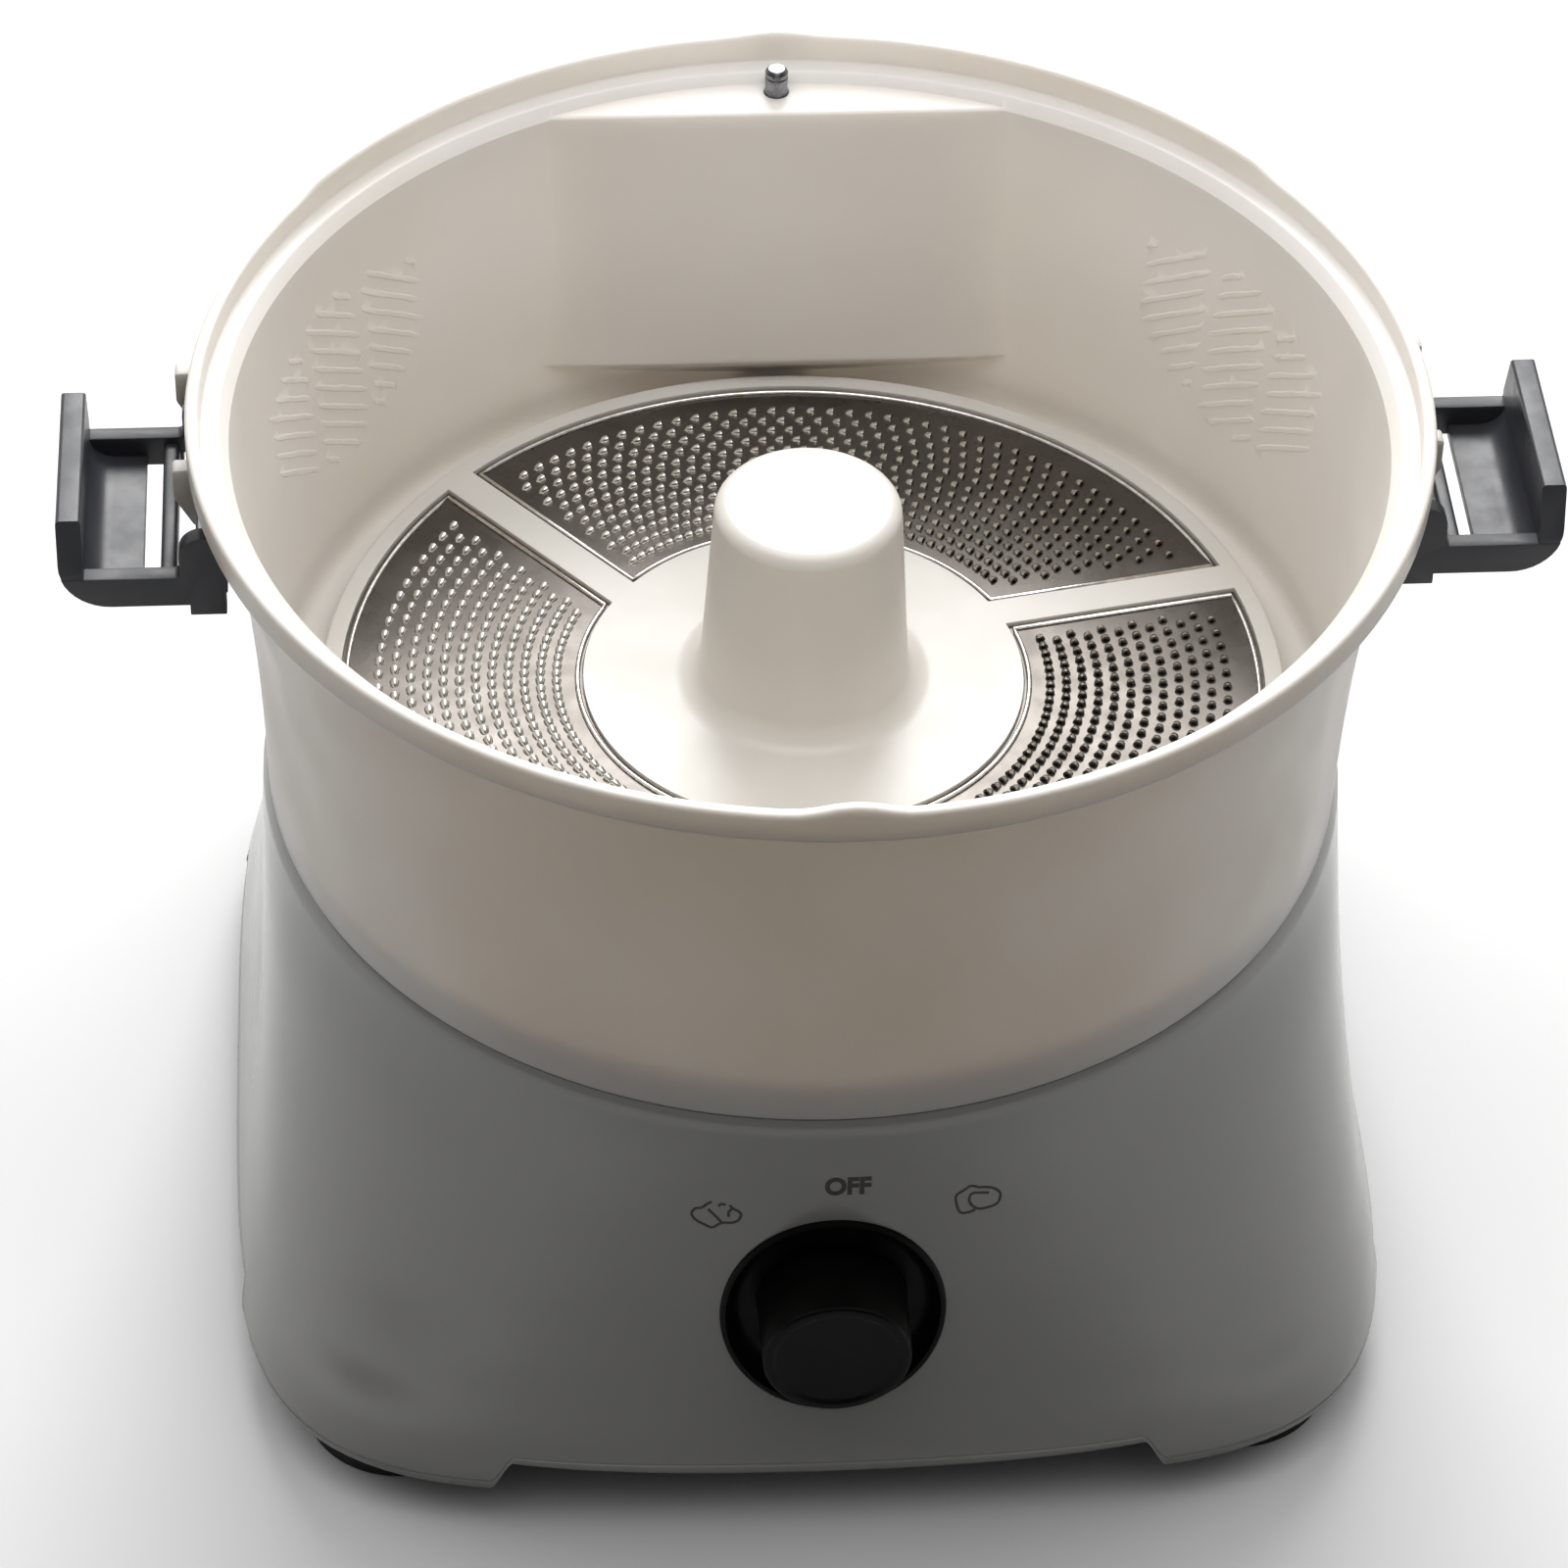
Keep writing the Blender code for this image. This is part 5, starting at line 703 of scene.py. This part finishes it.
def at_hinge(side, outline, low, high, bevel=0.0):
    """Solid on one side, whose outline is measured outwards and upwards from the latch's hinge."""
    return prism([(side * (HINGE_X + x), HINGE_Z + z) for x, z in outline], low, high, "xzy", bevel)


HINGE_X, HINGE_Z = 0.1195, 0.177
PIN_BORE = 0.0017
PIN_BACK = 0.030
LUG_HALF = 0.0018
LUG_PLACES = (-0.0048, 0.0257)
PANEL_FOOT_Z = 0.128
# The pocket's flat panel meets the inside of the wall at these half widths
PANEL_TOP_HALF = 0.0478
PANEL_FOOT_HALF = 0.0500
panel_top_y = wall_reach(SHELF_Z, PANEL_TOP_HALF, BOWL_WALL)
panel_foot_y = wall_reach(PANEL_FOOT_Z, PANEL_FOOT_HALF, BOWL_WALL)
slant_z = PANEL_FOOT_Z - LIP_RADIUS + panel_foot_y
pocket_outline = softened(((panel_top_y, SHELF_Z, 0.0008), (panel_foot_y, PANEL_FOOT_Z, 0.0015),
                           (LIP_RADIUS, slant_z, 0), (LIP_RADIUS, SHELF_Z, 0)), 4, closed=True)
# The pocket's block ends in the middle of the wall
wall_middle = [(wall_radius(z) - BOWL_WALL / 2, z) for z in [LEDGE_Z] + wall_heights]
wall_middle = [(0, LEDGE_Z)] + wall_middle + [(WALL_FOOT_RADIUS - BOWL_WALL / 2, 0.10), (0, 0.10)]
pocket = carved(prism(pocket_outline, -0.06, 0.06, "yzx"), [(turned(wall_middle, FINE_STEPS), "INTERSECT")])
channel_outline = softened(((-CHANNEL_HALF_WIDTH, CHANNEL_FRONT_Y, 0),
                            (CHANNEL_HALF_WIDTH, CHANNEL_FRONT_Y, 0),
                            (CHANNEL_HALF_WIDTH, CHANNEL_BACK_Y, 0.002),
                            (-CHANNEL_HALF_WIDTH, CHANNEL_BACK_Y, 0.002)), 5, closed=True)
channel = prism(channel_outline, WALL_FOOT_Z, SHELF_Z - 0.001, bevel=0.0005)
bowl_tools = [(pocket, "UNION"), (channel, "UNION")]
for side in (-1, 1):
    for lug_y in LUG_PLACES:
        # Rooted in the middle of the wall
        roots = [(wall_reach(HINGE_Z + z, lug_y, BOWL_WALL / 2) - HINGE_X, z, 0) for z in (0.008, -0.008)]
        outline = softened((*roots, (0.002, -0.006, 0.0015), (0.0057, 0.001, 0.0020),
                            (0.0057, 0.008, 0.0008)), 4, closed=True)
        lug = at_hinge(side, outline, lug_y - LUG_HALF, lug_y + LUG_HALF, 0.0003)
        bowl_tools.append((lug, "UNION"))
    pin_bore = rod(PIN_BORE, (side * HINGE_X, -0.0236, HINGE_Z), (side * HINGE_X, PIN_BACK, HINGE_Z), 24)
    bowl_tools.append((pin_bore, "DIFFERENCE"))
# Bore for the rod, wider where the spring sits
SPRING_BORE = 0.0044
CHAMBER_FLOOR = 0.1530
CHAMBER_TOP = 0.1840
channel_bore = turned([(0, 0.102), (ROD_BORE, 0.102), (ROD_BORE, CHAMBER_FLOOR),
                       (SPRING_BORE, CHAMBER_FLOOR), (SPRING_BORE, CHAMBER_TOP), (ROD_BORE, CHAMBER_TOP),
                       (ROD_BORE, 0.196), (0, 0.196)], 44)
bmesh.ops.translate(channel_bore, vec=(0, ROD_Y, 0), verts=channel_bore.verts)
bowl_tools.append((channel_bore, "DIFFERENCE"))
# Two patches of raised ribs inside the wall help to turn the load: short dashes in three columns,
# each a half pitch from the next, that climb by a share of their length towards the front
RIB_PITCH = 0.0046
RIB_HALF = 0.0010
RIB_PROUD = 0.0002
RIB_ROOT = -0.0007
RIB_EDGE = -0.0001
RIB_RISE = 0.68
# First and last azimuth from the rear, and offset in pitches
RIB_COLUMNS = ((43.6, 52.2, 0.0), (53.6, 62.4, 0.5), (63.8, 73.6, 0.0))
# Azimuth from the rear, lowest and highest height of the patch
PATCH = ((43, 0.153, 0.168), (49, 0.143, 0.1715), (56, 0.137, 0.174), (62, 0.139, 0.173), (68, 0.144, 0.170),
         (74, 0.152, 0.166))
PATCH_FOOT = 0.128
patch_rows = through(PATCH)
ribs = bmesh.new()
draw = random.Random(7)


def rib_height(azimuth, middle, height):
    """Height of a rib at an azimuth in degrees from the rear; the rib passes its middle at a height."""
    return height + RIB_RISE * WALL_FOOT_RADIUS * radians(azimuth - middle)


for side in (-1, 1):
    for start, end, shift in RIB_COLUMNS:
        middle = (start + end) / 2
        for row in range(13):
            centre_z = PATCH_FOOT + (row + shift) * RIB_PITCH
            first = start + draw.uniform(-0.3, 0.3)
            last = end + draw.uniform(-0.3, 0.3)
            kept = []
            for k in range(25):
                azimuth = first + (last - first) * k / 24
                lowest, highest = patch_rows(azimuth)
                if lowest - 0.001 <= rib_height(azimuth, middle, centre_z) <= highest + 0.001:
                    kept.append(azimuth)
            if len(kept) < 5:
                continue
            rib = []
            for k in range(10):
                azimuth = kept[0] + (kept[-1] - kept[0]) * k / 9
                taper, narrowing = (0.35, 0.6) if k in (0, 9) else (1.0, 1.0)
                half = (RIB_HALF + draw.uniform(-0.0001, 0.0001)) * narrowing
                centre = rib_height(azimuth, middle, centre_z) + draw.uniform(-0.00012, 0.00012)
                rib.append([])
                for across, proud in ((-1, RIB_ROOT), (-1, RIB_EDGE), (-0.5, RIB_PROUD * taper),
                                      (0.5, RIB_PROUD * taper), (1, RIB_EDGE), (1, RIB_ROOT)):
                    height = centre + half * across
                    point = polar(wall_radius(height) - BOWL_WALL - proud, radians(90 + side * azimuth))
                    rib[-1].append((*point, height))
            loft(ribs, rib, ends=True)
bowl_tools.append((ribs, "UNION"))
# Off-white polypropylene: satin, warm, and lit from within at thin edges, IOR 1.49
bowl_white = surface("satin_off_white_polypropylene", ("ebe6e0", "e6e0d8"), 45, (0.28, 0.40), 0.9, 0.010,
                     IOR=1.49, Subsurface_Weight=0.55, Subsurface_Radius=(1.0, 0.93, 0.86),
                     Subsurface_Scale=0.0040)
piece("bowl_moulding", carved(bowl, bowl_tools), bowl_white, "bowl", ["bowl"])


# Interlock rod: a turned steel pin with a domed end and a collar, lifted by a spring behind the
# pocket. The lid presses it down on the safety switch.
ROD_RADIUS = 0.0024
ROD_COLLAR = 0.0039
COLLAR_TOP = CHAMBER_TOP - 0.0003
COLLAR_FOOT = COLLAR_TOP - 0.0015
rod_low, rod_top = [corner.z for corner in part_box("interlock_rod")]
rod_corners = ((0, rod_top, 0), (ROD_RADIUS - 0.0006, rod_top, 0.0003),
               (ROD_RADIUS, rod_top - 0.0008, 0.0004), (ROD_RADIUS, rod_top - 0.0016, 0.0001),
               (ROD_RADIUS - 0.00025, rod_top - 0.0019, 0.0001), (ROD_RADIUS, rod_top - 0.0022, 0.0001),
               (ROD_RADIUS, COLLAR_TOP, 0), (ROD_COLLAR, COLLAR_TOP, 0.0002),
               (ROD_COLLAR, COLLAR_FOOT, 0.0002), (ROD_RADIUS, COLLAR_FOOT, 0), (ROD_RADIUS, rod_low, 0.0004),
               (0, rod_low, 0))
# Turned stainless steel, satin, a little darker in the tool's marks
turned_steel = surface("turned_stainless_steel", ("8f9094", "6e7074"), 2, (0.20, 0.36), 0.3, 0.004,
                       Metallic=1.0)
piece("interlock_rod_turned", turned(softened(rod_corners, 4), 48), turned_steel, "interlock",
      ["interlock_rod"], (0, ROD_Y, 0))
# The spring's foot stays on the floor of its chamber while the rod's collar presses its top down
SPRING_WIRE = 0.0004
SPRING_COIL = 0.0037
spring_foot, spring_top = [corner.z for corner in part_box("interlock_spring")]
COIL_STEPS = 144
coil = [[(SPRING_COIL, 0, spring_foot + SPRING_WIRE)]]
for i in range(COIL_STEPS + 1):
    outward = polar(1, 2 * pi * i / 24)
    height = spring_foot + SPRING_WIRE + (spring_top - spring_foot - 2 * SPRING_WIRE) * i / COIL_STEPS
    coil.append([(*(outward * (SPRING_COIL + p.x)), height + p.y) for p in circle(SPRING_WIRE, 8)])
coil.append([(SPRING_COIL, 0, spring_top - SPRING_WIRE)])
spring = piece("interlock_spring_wound", loft(bmesh.new(), coil), ground_steel, "interlock",
               ["interlock_spring"], (0, ROD_Y, 0))
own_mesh(spring)


# Latches: each a dark glass-filled polyamide moulding that swings on a steel pin in the bowl's
# lugs. It has a tray with an upright hook wall, two side arms, an inner bar and a toe.
LATCH_HALF = 0.0236
ARM = 0.0036
# The pin's hole is blind at the front, so no steel shows there
PIN_START = -0.0222
# Glass-filled polyamide, a satin anthracite with a fine grain, IOR 1.53
anthracite = surface("glass_filled_polyamide", ("3c3d41", "333439"), 14, (0.30, 0.42), 0.8, 0.018, IOR=1.53,
                     Specular_IOR_Level=0.4)
KNUCKLE_RADIUS = 0.0046
LATCH_FOOT = -0.0120
TRAY_START = 0.0119
TRAY_TOP = -0.0095
CORNER_X, CORNER_Z, CORNER_RADIUS = 0.0181, -0.0020, 0.0100
HOOK_OUTSIDE = CORNER_X + CORNER_RADIUS
HOOK_INSIDE = 0.0232
HOOK_TOP = 0.0070
# The round outer corner, from under the tray up to its hook wall
outer_corner = [(CORNER_X + CORNER_RADIUS * sin(a), CORNER_Z - CORNER_RADIUS * cos(a))
                for a in [pi / 2 * i / 10 for i in range(11)]]
hook = softened(((HOOK_OUTSIDE, CORNER_Z, 0), (HOOK_OUTSIDE, HOOK_TOP, 0.0008),
                 (HOOK_INSIDE, HOOK_TOP, 0.0008), (HOOK_INSIDE, TRAY_TOP, 0.0050),
                 (TRAY_START, TRAY_TOP, 0)), 7)[1:]
# The tray lies a hair inside the arms' outline, so that no two faces coincide
tray = [(TRAY_START, LATCH_FOOT + 0.00006)]
tray += [(x - 0.00004, z + 0.00006) for x, z in outer_corner] + hook
round_end = [(KNUCKLE_RADIUS * cos(a), KNUCKLE_RADIUS * sin(a))
             for a in [pi - pi * i / 14 for i in range(15)]]
arm_top = softened(((KNUCKLE_RADIUS, 0.0, 0), (KNUCKLE_RADIUS, -0.0050, 0.0010), (0.0276, -0.0050, 0)), 5)[1:]
arm_tail = arm_top + [p for p in reversed(outer_corner) if p[1] < -0.0053] + [(KNUCKLE_RADIUS, LATCH_FOOT)]
toe = [(0.0029, LATCH_FOOT), (0.0029, -0.0145), (-0.0042, -0.0145), (-0.0042, -0.0090),
       (-KNUCKLE_RADIUS, -0.0090)]
plain_end = [(KNUCKLE_RADIUS, -0.0090), (-KNUCKLE_RADIUS, -0.0090)]
for side, word in ((-1, "left"), (1, "right")):
    latch = at_hinge(side, tray, -LATCH_HALF + 0.0001, LATCH_HALF - 0.0001, 0.0004)
    latch_tools = []
    for low, ending in ((-LATCH_HALF, toe), (LATCH_HALF - ARM, plain_end)):
        arm = at_hinge(side, round_end + arm_tail + ending, low, low + ARM, 0.0004)
        latch_tools.append((arm, "UNION"))
    bar = softened(((0.0053, -0.0119, 0.0004), (0.0085, -0.0119, 0.0004), (0.0085, -0.0065, 0.0008),
                    (0.0053, -0.0065, 0.0008)), 3, closed=True)
    latch_tools.append((at_hinge(side, bar, -LATCH_HALF + 0.001, LATCH_HALF - 0.001), "UNION"))
    # The hook wall narrows upwards at both ends
    for end in (-1, 1):
        slanted = [(end * (LATCH_HALF + beyond), HINGE_Z + z)
                   for beyond, z in ((0, -0.0046), (0.004, -0.0046), (0.004, 0.010), (-0.0046, 0.010))]
        low, high = sorted((side * (HINGE_X + 0.0150), side * (HINGE_X + 0.030)))
        latch_tools.append((prism(slanted, low, high, "yzx"), "DIFFERENCE"))
    pin_bore = rod(PIN_BORE, (side * HINGE_X, PIN_START - 0.0004, HINGE_Z),
                   (side * HINGE_X, PIN_BACK, HINGE_Z), 24)
    latch_tools.append((pin_bore, "DIFFERENCE"))
    piece(f"latch_{word}_moulding", carved(latch, latch_tools), anthracite, f"{word}_latch",
          [f"latch_{word}"])
    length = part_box(f"latch_pin_{word}")[1].y - AXIS_Y - PIN_START
    pin = turned(softened(((0, 0, 0), (0.0014, 0, 0.0004), (0.0014, length, 0.0004), (0, length, 0))), 32)
    piece(f"latch_pin_{word}_ground", pin, ground_steel, "bowl", [f"latch_pin_{word}"],
          (side * HINGE_X, PIN_START, HINGE_Z), Matrix.Rotation(-pi / 2, 4, "X"))


# Disc: a white acetal moulding with a tall hollow hub, a flat centre plate and three swept arms
# between shallow bays. It stands on the spindle's hexagonal dog and lifts off.
DISC_TOP = 0.1225
DISC_RADIUS = 0.0985
DISC_RIM = 0.0040
POCKET_DEPTH = 0.0020
PLATE_RADIUS = 0.0450
ARM_WIDTH = 0.0075
ARM_AZIMUTH = radians(23)
ARM_SWEEP = radians(12)
HUB_TOP = 0.168
DISC_BOTTOM = 0.1185
HUB_CEILING = 0.1505


def arm_point(index, offset, radius):
    """Plan point on a line beside one arm, at a radius from the axis."""
    azimuth = ARM_AZIMUTH + index * 2 * pi / 3
    along = polar(1, azimuth - ARM_SWEEP)
    start = polar(PLATE_RADIUS, azimuth) + Vector((-along.y, along.x)) * offset
    lean = start.dot(along)
    return start + along * (sqrt(lean * lean - start.dot(start) + radius * radius) - lean)


def bay_corners(index, inset):
    """Radii and azimuths between which one bay lies, drawn in by an inset."""
    inner, outer_radius = PLATE_RADIUS + inset, DISC_RADIUS - DISC_RIM - inset
    offset = ARM_WIDTH / 2 + inset
    spots = [arm_point(index, offset, r) for r in (inner, outer_radius)]
    spots += [arm_point(index + 1, -offset, r) for r in (outer_radius, inner)]
    angles = [atan2(p.y, p.x) for p in spots]
    for i in range(1, 4):
        while angles[i] < angles[0] - pi / 2:
            angles[i] += 2 * pi
    return inner, outer_radius, angles


def bay_outline(index, inset, steps=40):
    """Outline of one bay."""
    inner, outer_radius, angles = bay_corners(index, inset)
    rim = [polar(outer_radius, angles[1] + (angles[2] - angles[1]) * i / steps) for i in range(steps + 1)]
    plate = [polar(inner, angles[3] + (angles[0] - angles[3]) * i / steps) for i in range(steps + 1)]
    return rim + plate


hub_corners = ((0, HUB_TOP, 0), (0.0187, HUB_TOP, 0.0030), (0.0215, DISC_TOP, 0.0055),
               (DISC_RADIUS, DISC_TOP, 0.0008), (DISC_RADIUS, DISC_BOTTOM, 0.0006),
               (0.0180, DISC_BOTTOM, 0.0008), (0.0152, HUB_CEILING, 0.0006), (0, HUB_CEILING, 0))
hub_profile = softened(hub_corners, 7)
# Four more rings across the plate keep its long faces even
rim_index = next(i for i, p in enumerate(hub_profile) if p.x > PLATE_RADIUS)
hub_profile[rim_index:rim_index] = [hub_profile[rim_index - 1].lerp(hub_profile[rim_index], k / 5)
                                    for k in range(1, 5)]
disc_tools = [(prism(bay_outline(i, 0.0), DISC_TOP - POCKET_DEPTH, DISC_TOP + 0.002), "DIFFERENCE")
              for i in range(3)]
hexagon = circle((DOG_HALF_FLATS + 0.0003) / cos(pi / 6), 6)
disc_tools.append((prism(hexagon, 0.148, DOG_TOP + 0.0003), "DIFFERENCE"))
# White acetal: clean, dense and satin, a touch warm, IOR 1.48
disc_white = surface("satin_white_acetal", ("d1cdc7", "ccc8c1"), 30, (0.28, 0.40), 0.9, 0.008, IOR=1.48,
                     Subsurface_Weight=0.15, Subsurface_Radius=(1.0, 0.85, 0.7), Subsurface_Scale=0.004)
piece("disc_with_hub", carved(turned(hub_profile, 192), disc_tools), disc_white, "disc",
      ["disc_carrier"])


# Grater inserts: thin stainless sheet with hundreds of punched teeth in radial lines, each a
# hooded burr over a mouth painted dark as shade, and a rolled bright bead round the edge. They snap in the
# bays.
SHEET_GAP = 0.0003
SHEET_THICKNESS = 0.0008
SHEET_TOP = DISC_TOP - POCKET_DEPTH + SHEET_GAP + SHEET_THICKNESS
BEAD_RADIUS = 0.00055
TOOTH_SIZE = (0.0021, 0.0011, 0.0020)
TOOTH_PITCH = 0.0033
TOOTH_BORDER = 0.0052
# Rolled stainless sheet between the teeth, painted a dark smoky grey that stands for the shade falling on it,
# with soft streaks
stainless = surface("rolled_stainless_sheet_painted_shade", ("625e5a", "595551"), 14, (0.24, 0.34), 0.4, 0.004,
                    Metallic=1.0)
# Burnished stainless steel of the raised burrs and the rolled edge, bright as chrome
burnished = surface("burnished_stainless_steel", ("dedbd6", "bfbbb4"), 1.5, (0.10, 0.22), 0.3, 0.003,
                    Metallic=1.0)
# Painted shade in a punched tooth's mouth: a dark, dull steel colour
tooth_shadow = surface("tooth_mouth_painted_shade", ("4c4741", "5c564f"), 1, (0.5, 0.7), 0.4, 0.004, Metallic=0.4)
ARCH = [(cos(pi * i / 6), sin(pi * i / 6)) for i in range(7)]


def add_tooth(shape, spot, heading):
    """One hooded tooth: a bright arch that faces the cut, a round back and a mouth painted dark as shade."""
    width, height, length = TOOTH_SIZE
    onward = polar(1, heading)
    across = Vector((-onward.y, onward.x))

    def at(along, wide, rise):
        p = spot + onward * along + across * wide
        return shape.verts.new((p.x, p.y, SHEET_TOP - 0.0002 + (height + 0.0002) * rise))

    mouth = [at(0.0, width / 2 * u, v) for u, v in ARCH]
    back = [at(length * 0.55, width * 0.42 * u, v * 0.78) for u, v in ARCH]
    tip = at(length, 0.0, 0.0)
    inner = [at(0.0, width * 0.31 * u, v * 0.58) for u, v in ARCH]
    deep = [at(length * 0.22, width * 0.25 * u, v * 0.46) for u, v in ARCH]
    bright_faces = []
    # The mouth's inner faces carry painted shade
    painted_shade_faces = [(inner[0], inner[-1], deep[-1], deep[0]), deep]
    for i in range(6):
        bright_faces += [(mouth[i], mouth[i + 1], back[i + 1], back[i]), (back[i], back[i + 1], tip),
                         (mouth[i + 1], mouth[i], inner[i], inner[i + 1])]
        painted_shade_faces.append((inner[i + 1], inner[i], deep[i], deep[i + 1]))
    bright_faces += [(mouth[0], back[0], tip, back[-1], mouth[-1]),
                     (mouth[0], mouth[-1], inner[-1], inner[0])]
    for faces, slot in ((bright_faces, 1), (painted_shade_faces, 2)):
        for corners in faces:
            shape.faces.new(corners).material_index = slot


for index in range(3):
    sheet = prism(bay_outline(index, SHEET_GAP), SHEET_TOP - SHEET_THICKNESS, SHEET_TOP)
    bead_rings = []
    path = bay_outline(index, 0.0012, 60)
    for i, point in enumerate(path):
        along = (path[(i + 1) % len(path)] - path[i - 1]).normalized()
        side_way = Vector((-along.y, along.x))
        bead_rings.append([(*(point + side_way * p.x), SHEET_TOP + 0.0001 + p.y)
                           for p in circle(BEAD_RADIUS, 8)])
    flat_count = len(sheet.faces)
    loft(sheet, bead_rings, closed=True)
    sheet.faces.ensure_lookup_table()
    for face in sheet.faces[flat_count:]:
        face.material_index = 1
    inner, outer_radius, _ = bay_corners(index, SHEET_GAP)
    rows = int((outer_radius - inner - 2 * TOOTH_BORDER) / TOOTH_PITCH)
    for row in range(rows + 1):
        radius = inner + TOOTH_BORDER + row * TOOTH_PITCH
        start = arm_point(index, ARM_WIDTH / 2 + TOOTH_BORDER, radius)
        end = arm_point(index + 1, -ARM_WIDTH / 2 - TOOTH_BORDER, radius)
        low = atan2(start.y, start.x)
        span = (atan2(end.y, end.x) - low) % (2 * pi)
        count = int(span * (inner + outer_radius) / 2 / TOOTH_PITCH)
        for i in range(count):
            angle = low + span * (i + (0.25 if row % 2 else 0.75)) / count
            add_tooth(sheet, polar(radius, angle), angle + pi / 2)
    bmesh.ops.recalc_face_normals(sheet, faces=sheet.faces)
    # The sheet's dark colour is painted shade
    item = piece(f"grater_insert_{index + 1}_punched", sheet, stainless, "disc",
                 [f"grater_insert_{index + 1}"], sharp=50)
    item.data.materials.append(burnished)
    item.data.materials.append(tooth_shadow)


# Studio: a pale floor under a bright sky of soft light that comes from above and behind, as in
# the photograph, so the front of the peeler stays in its own shade.
FLOOR_REACH = 4.0
floor_mesh = bpy.data.meshes.new("floor")
floor_corners = [(x * FLOOR_REACH, y * FLOOR_REACH, 0) for x, y in ((-1, -1), (1, -1), (1, 1), (-1, 1))]
floor_mesh.from_pydata(floor_corners, [], [(0, 1, 2, 3)])
floor = placed("floor", floor_mesh)
floor_paint = bpy.data.materials.new("matt_white_studio_floor")
floor_paint.use_nodes = True
tree = floor_paint.node_tree
tree.nodes.clear()
# White to the camera and in reflections, and grey in the light that it throws back on the peeler
ray = node(tree, "LightPath").outputs
bright = node(tree, "BsdfDiffuse", {"Color": rgb("fdfdfd")})
dull = node(tree, "BsdfDiffuse", {"Color": rgb("747474")})
seen_bright = node(tree, "Math", {0: ray["Is Camera Ray"], 1: ray["Is Glossy Ray"]}, operation="MAXIMUM")
both = node(tree, "MixShader", {0: seen_bright, 1: dull, 2: bright})
# Far from the peeler the floor turns into the white background, for the camera only
where = node(tree, "TexCoord").outputs["Object"]
reach = node(tree, "VectorMath", {0: where}, operation="LENGTH")
far = ramp(tree, reach.outputs["Value"], 0.19, 0.70)
far_seen = node(tree, "Math", {0: far, 1: ray["Is Camera Ray"]}, operation="MULTIPLY")
backdrop = node(tree, "Emission", {"Color": (1, 1, 1, 1), "Strength": 1.0})
faded = node(tree, "MixShader", {0: far_seen, 1: both, 2: backdrop})
node(tree, "OutputMaterial", {"Surface": faded})
floor_mesh.materials.append(floor_paint)

world = bpy.data.worlds.new("studio")
bpy.context.scene.world = world
world.use_nodes = True
tree = world.node_tree
tree.nodes.clear()
# The sky grows brighter upwards and backwards; the camera sees it plain white
ray = node(tree, "LightPath").outputs
towards = node(tree, "TexCoord").outputs["Generated"]
axes = node(tree, "SeparateXYZ", {0: towards}).outputs
backward = node(tree, "Math", {0: axes["Y"], 1: 0.58}, operation="MULTIPLY")
lean = node(tree, "Math", {0: axes["Z"], 1: 0.72, 2: backward}, operation="MULTIPLY_ADD")
sky = ramp(tree, lean, -0.05, 0.9, 0.05, 1.0)
dim = node(tree, "Background", {"Color": (1, 1, 1, 1), "Strength": sky})
white = node(tree, "Background", {"Color": (1, 1, 1, 1), "Strength": 1.0})
shown = node(tree, "Math", {0: ray["Is Camera Ray"], 1: ray["Is Transmission Ray"]}, operation="MAXIMUM")
mix = node(tree, "MixShader", {0: shown, 1: dim, 2: white})
node(tree, "OutputWorld", {"Surface": mix})

# Two round softboxes: a wide one far behind for the rims and the tops, and a small one over the
# bowl that lights its inside and leaves its outside in shade
LIT_POINT = Vector((0, 0, 0.1))
for name, place, size, power in (("softbox_behind", (0.15, 1.65, 1.50), 1.3, 34.0),
                                 ("softbox_above", (0, 0, 0.42), 0.22, 0.37)):
    lamp = bpy.data.lights.new(name, "AREA")
    lamp.shape = "DISK"
    lamp.size = size
    lamp.energy = power
    holder = placed(name, lamp)
    holder.location = place
    holder.rotation_euler = (LIT_POINT - Vector(place)).to_track_quat("-Z", "Y").to_euler()
    holder.visible_camera = False

bpy.context.scene.view_settings.view_transform = "Standard"
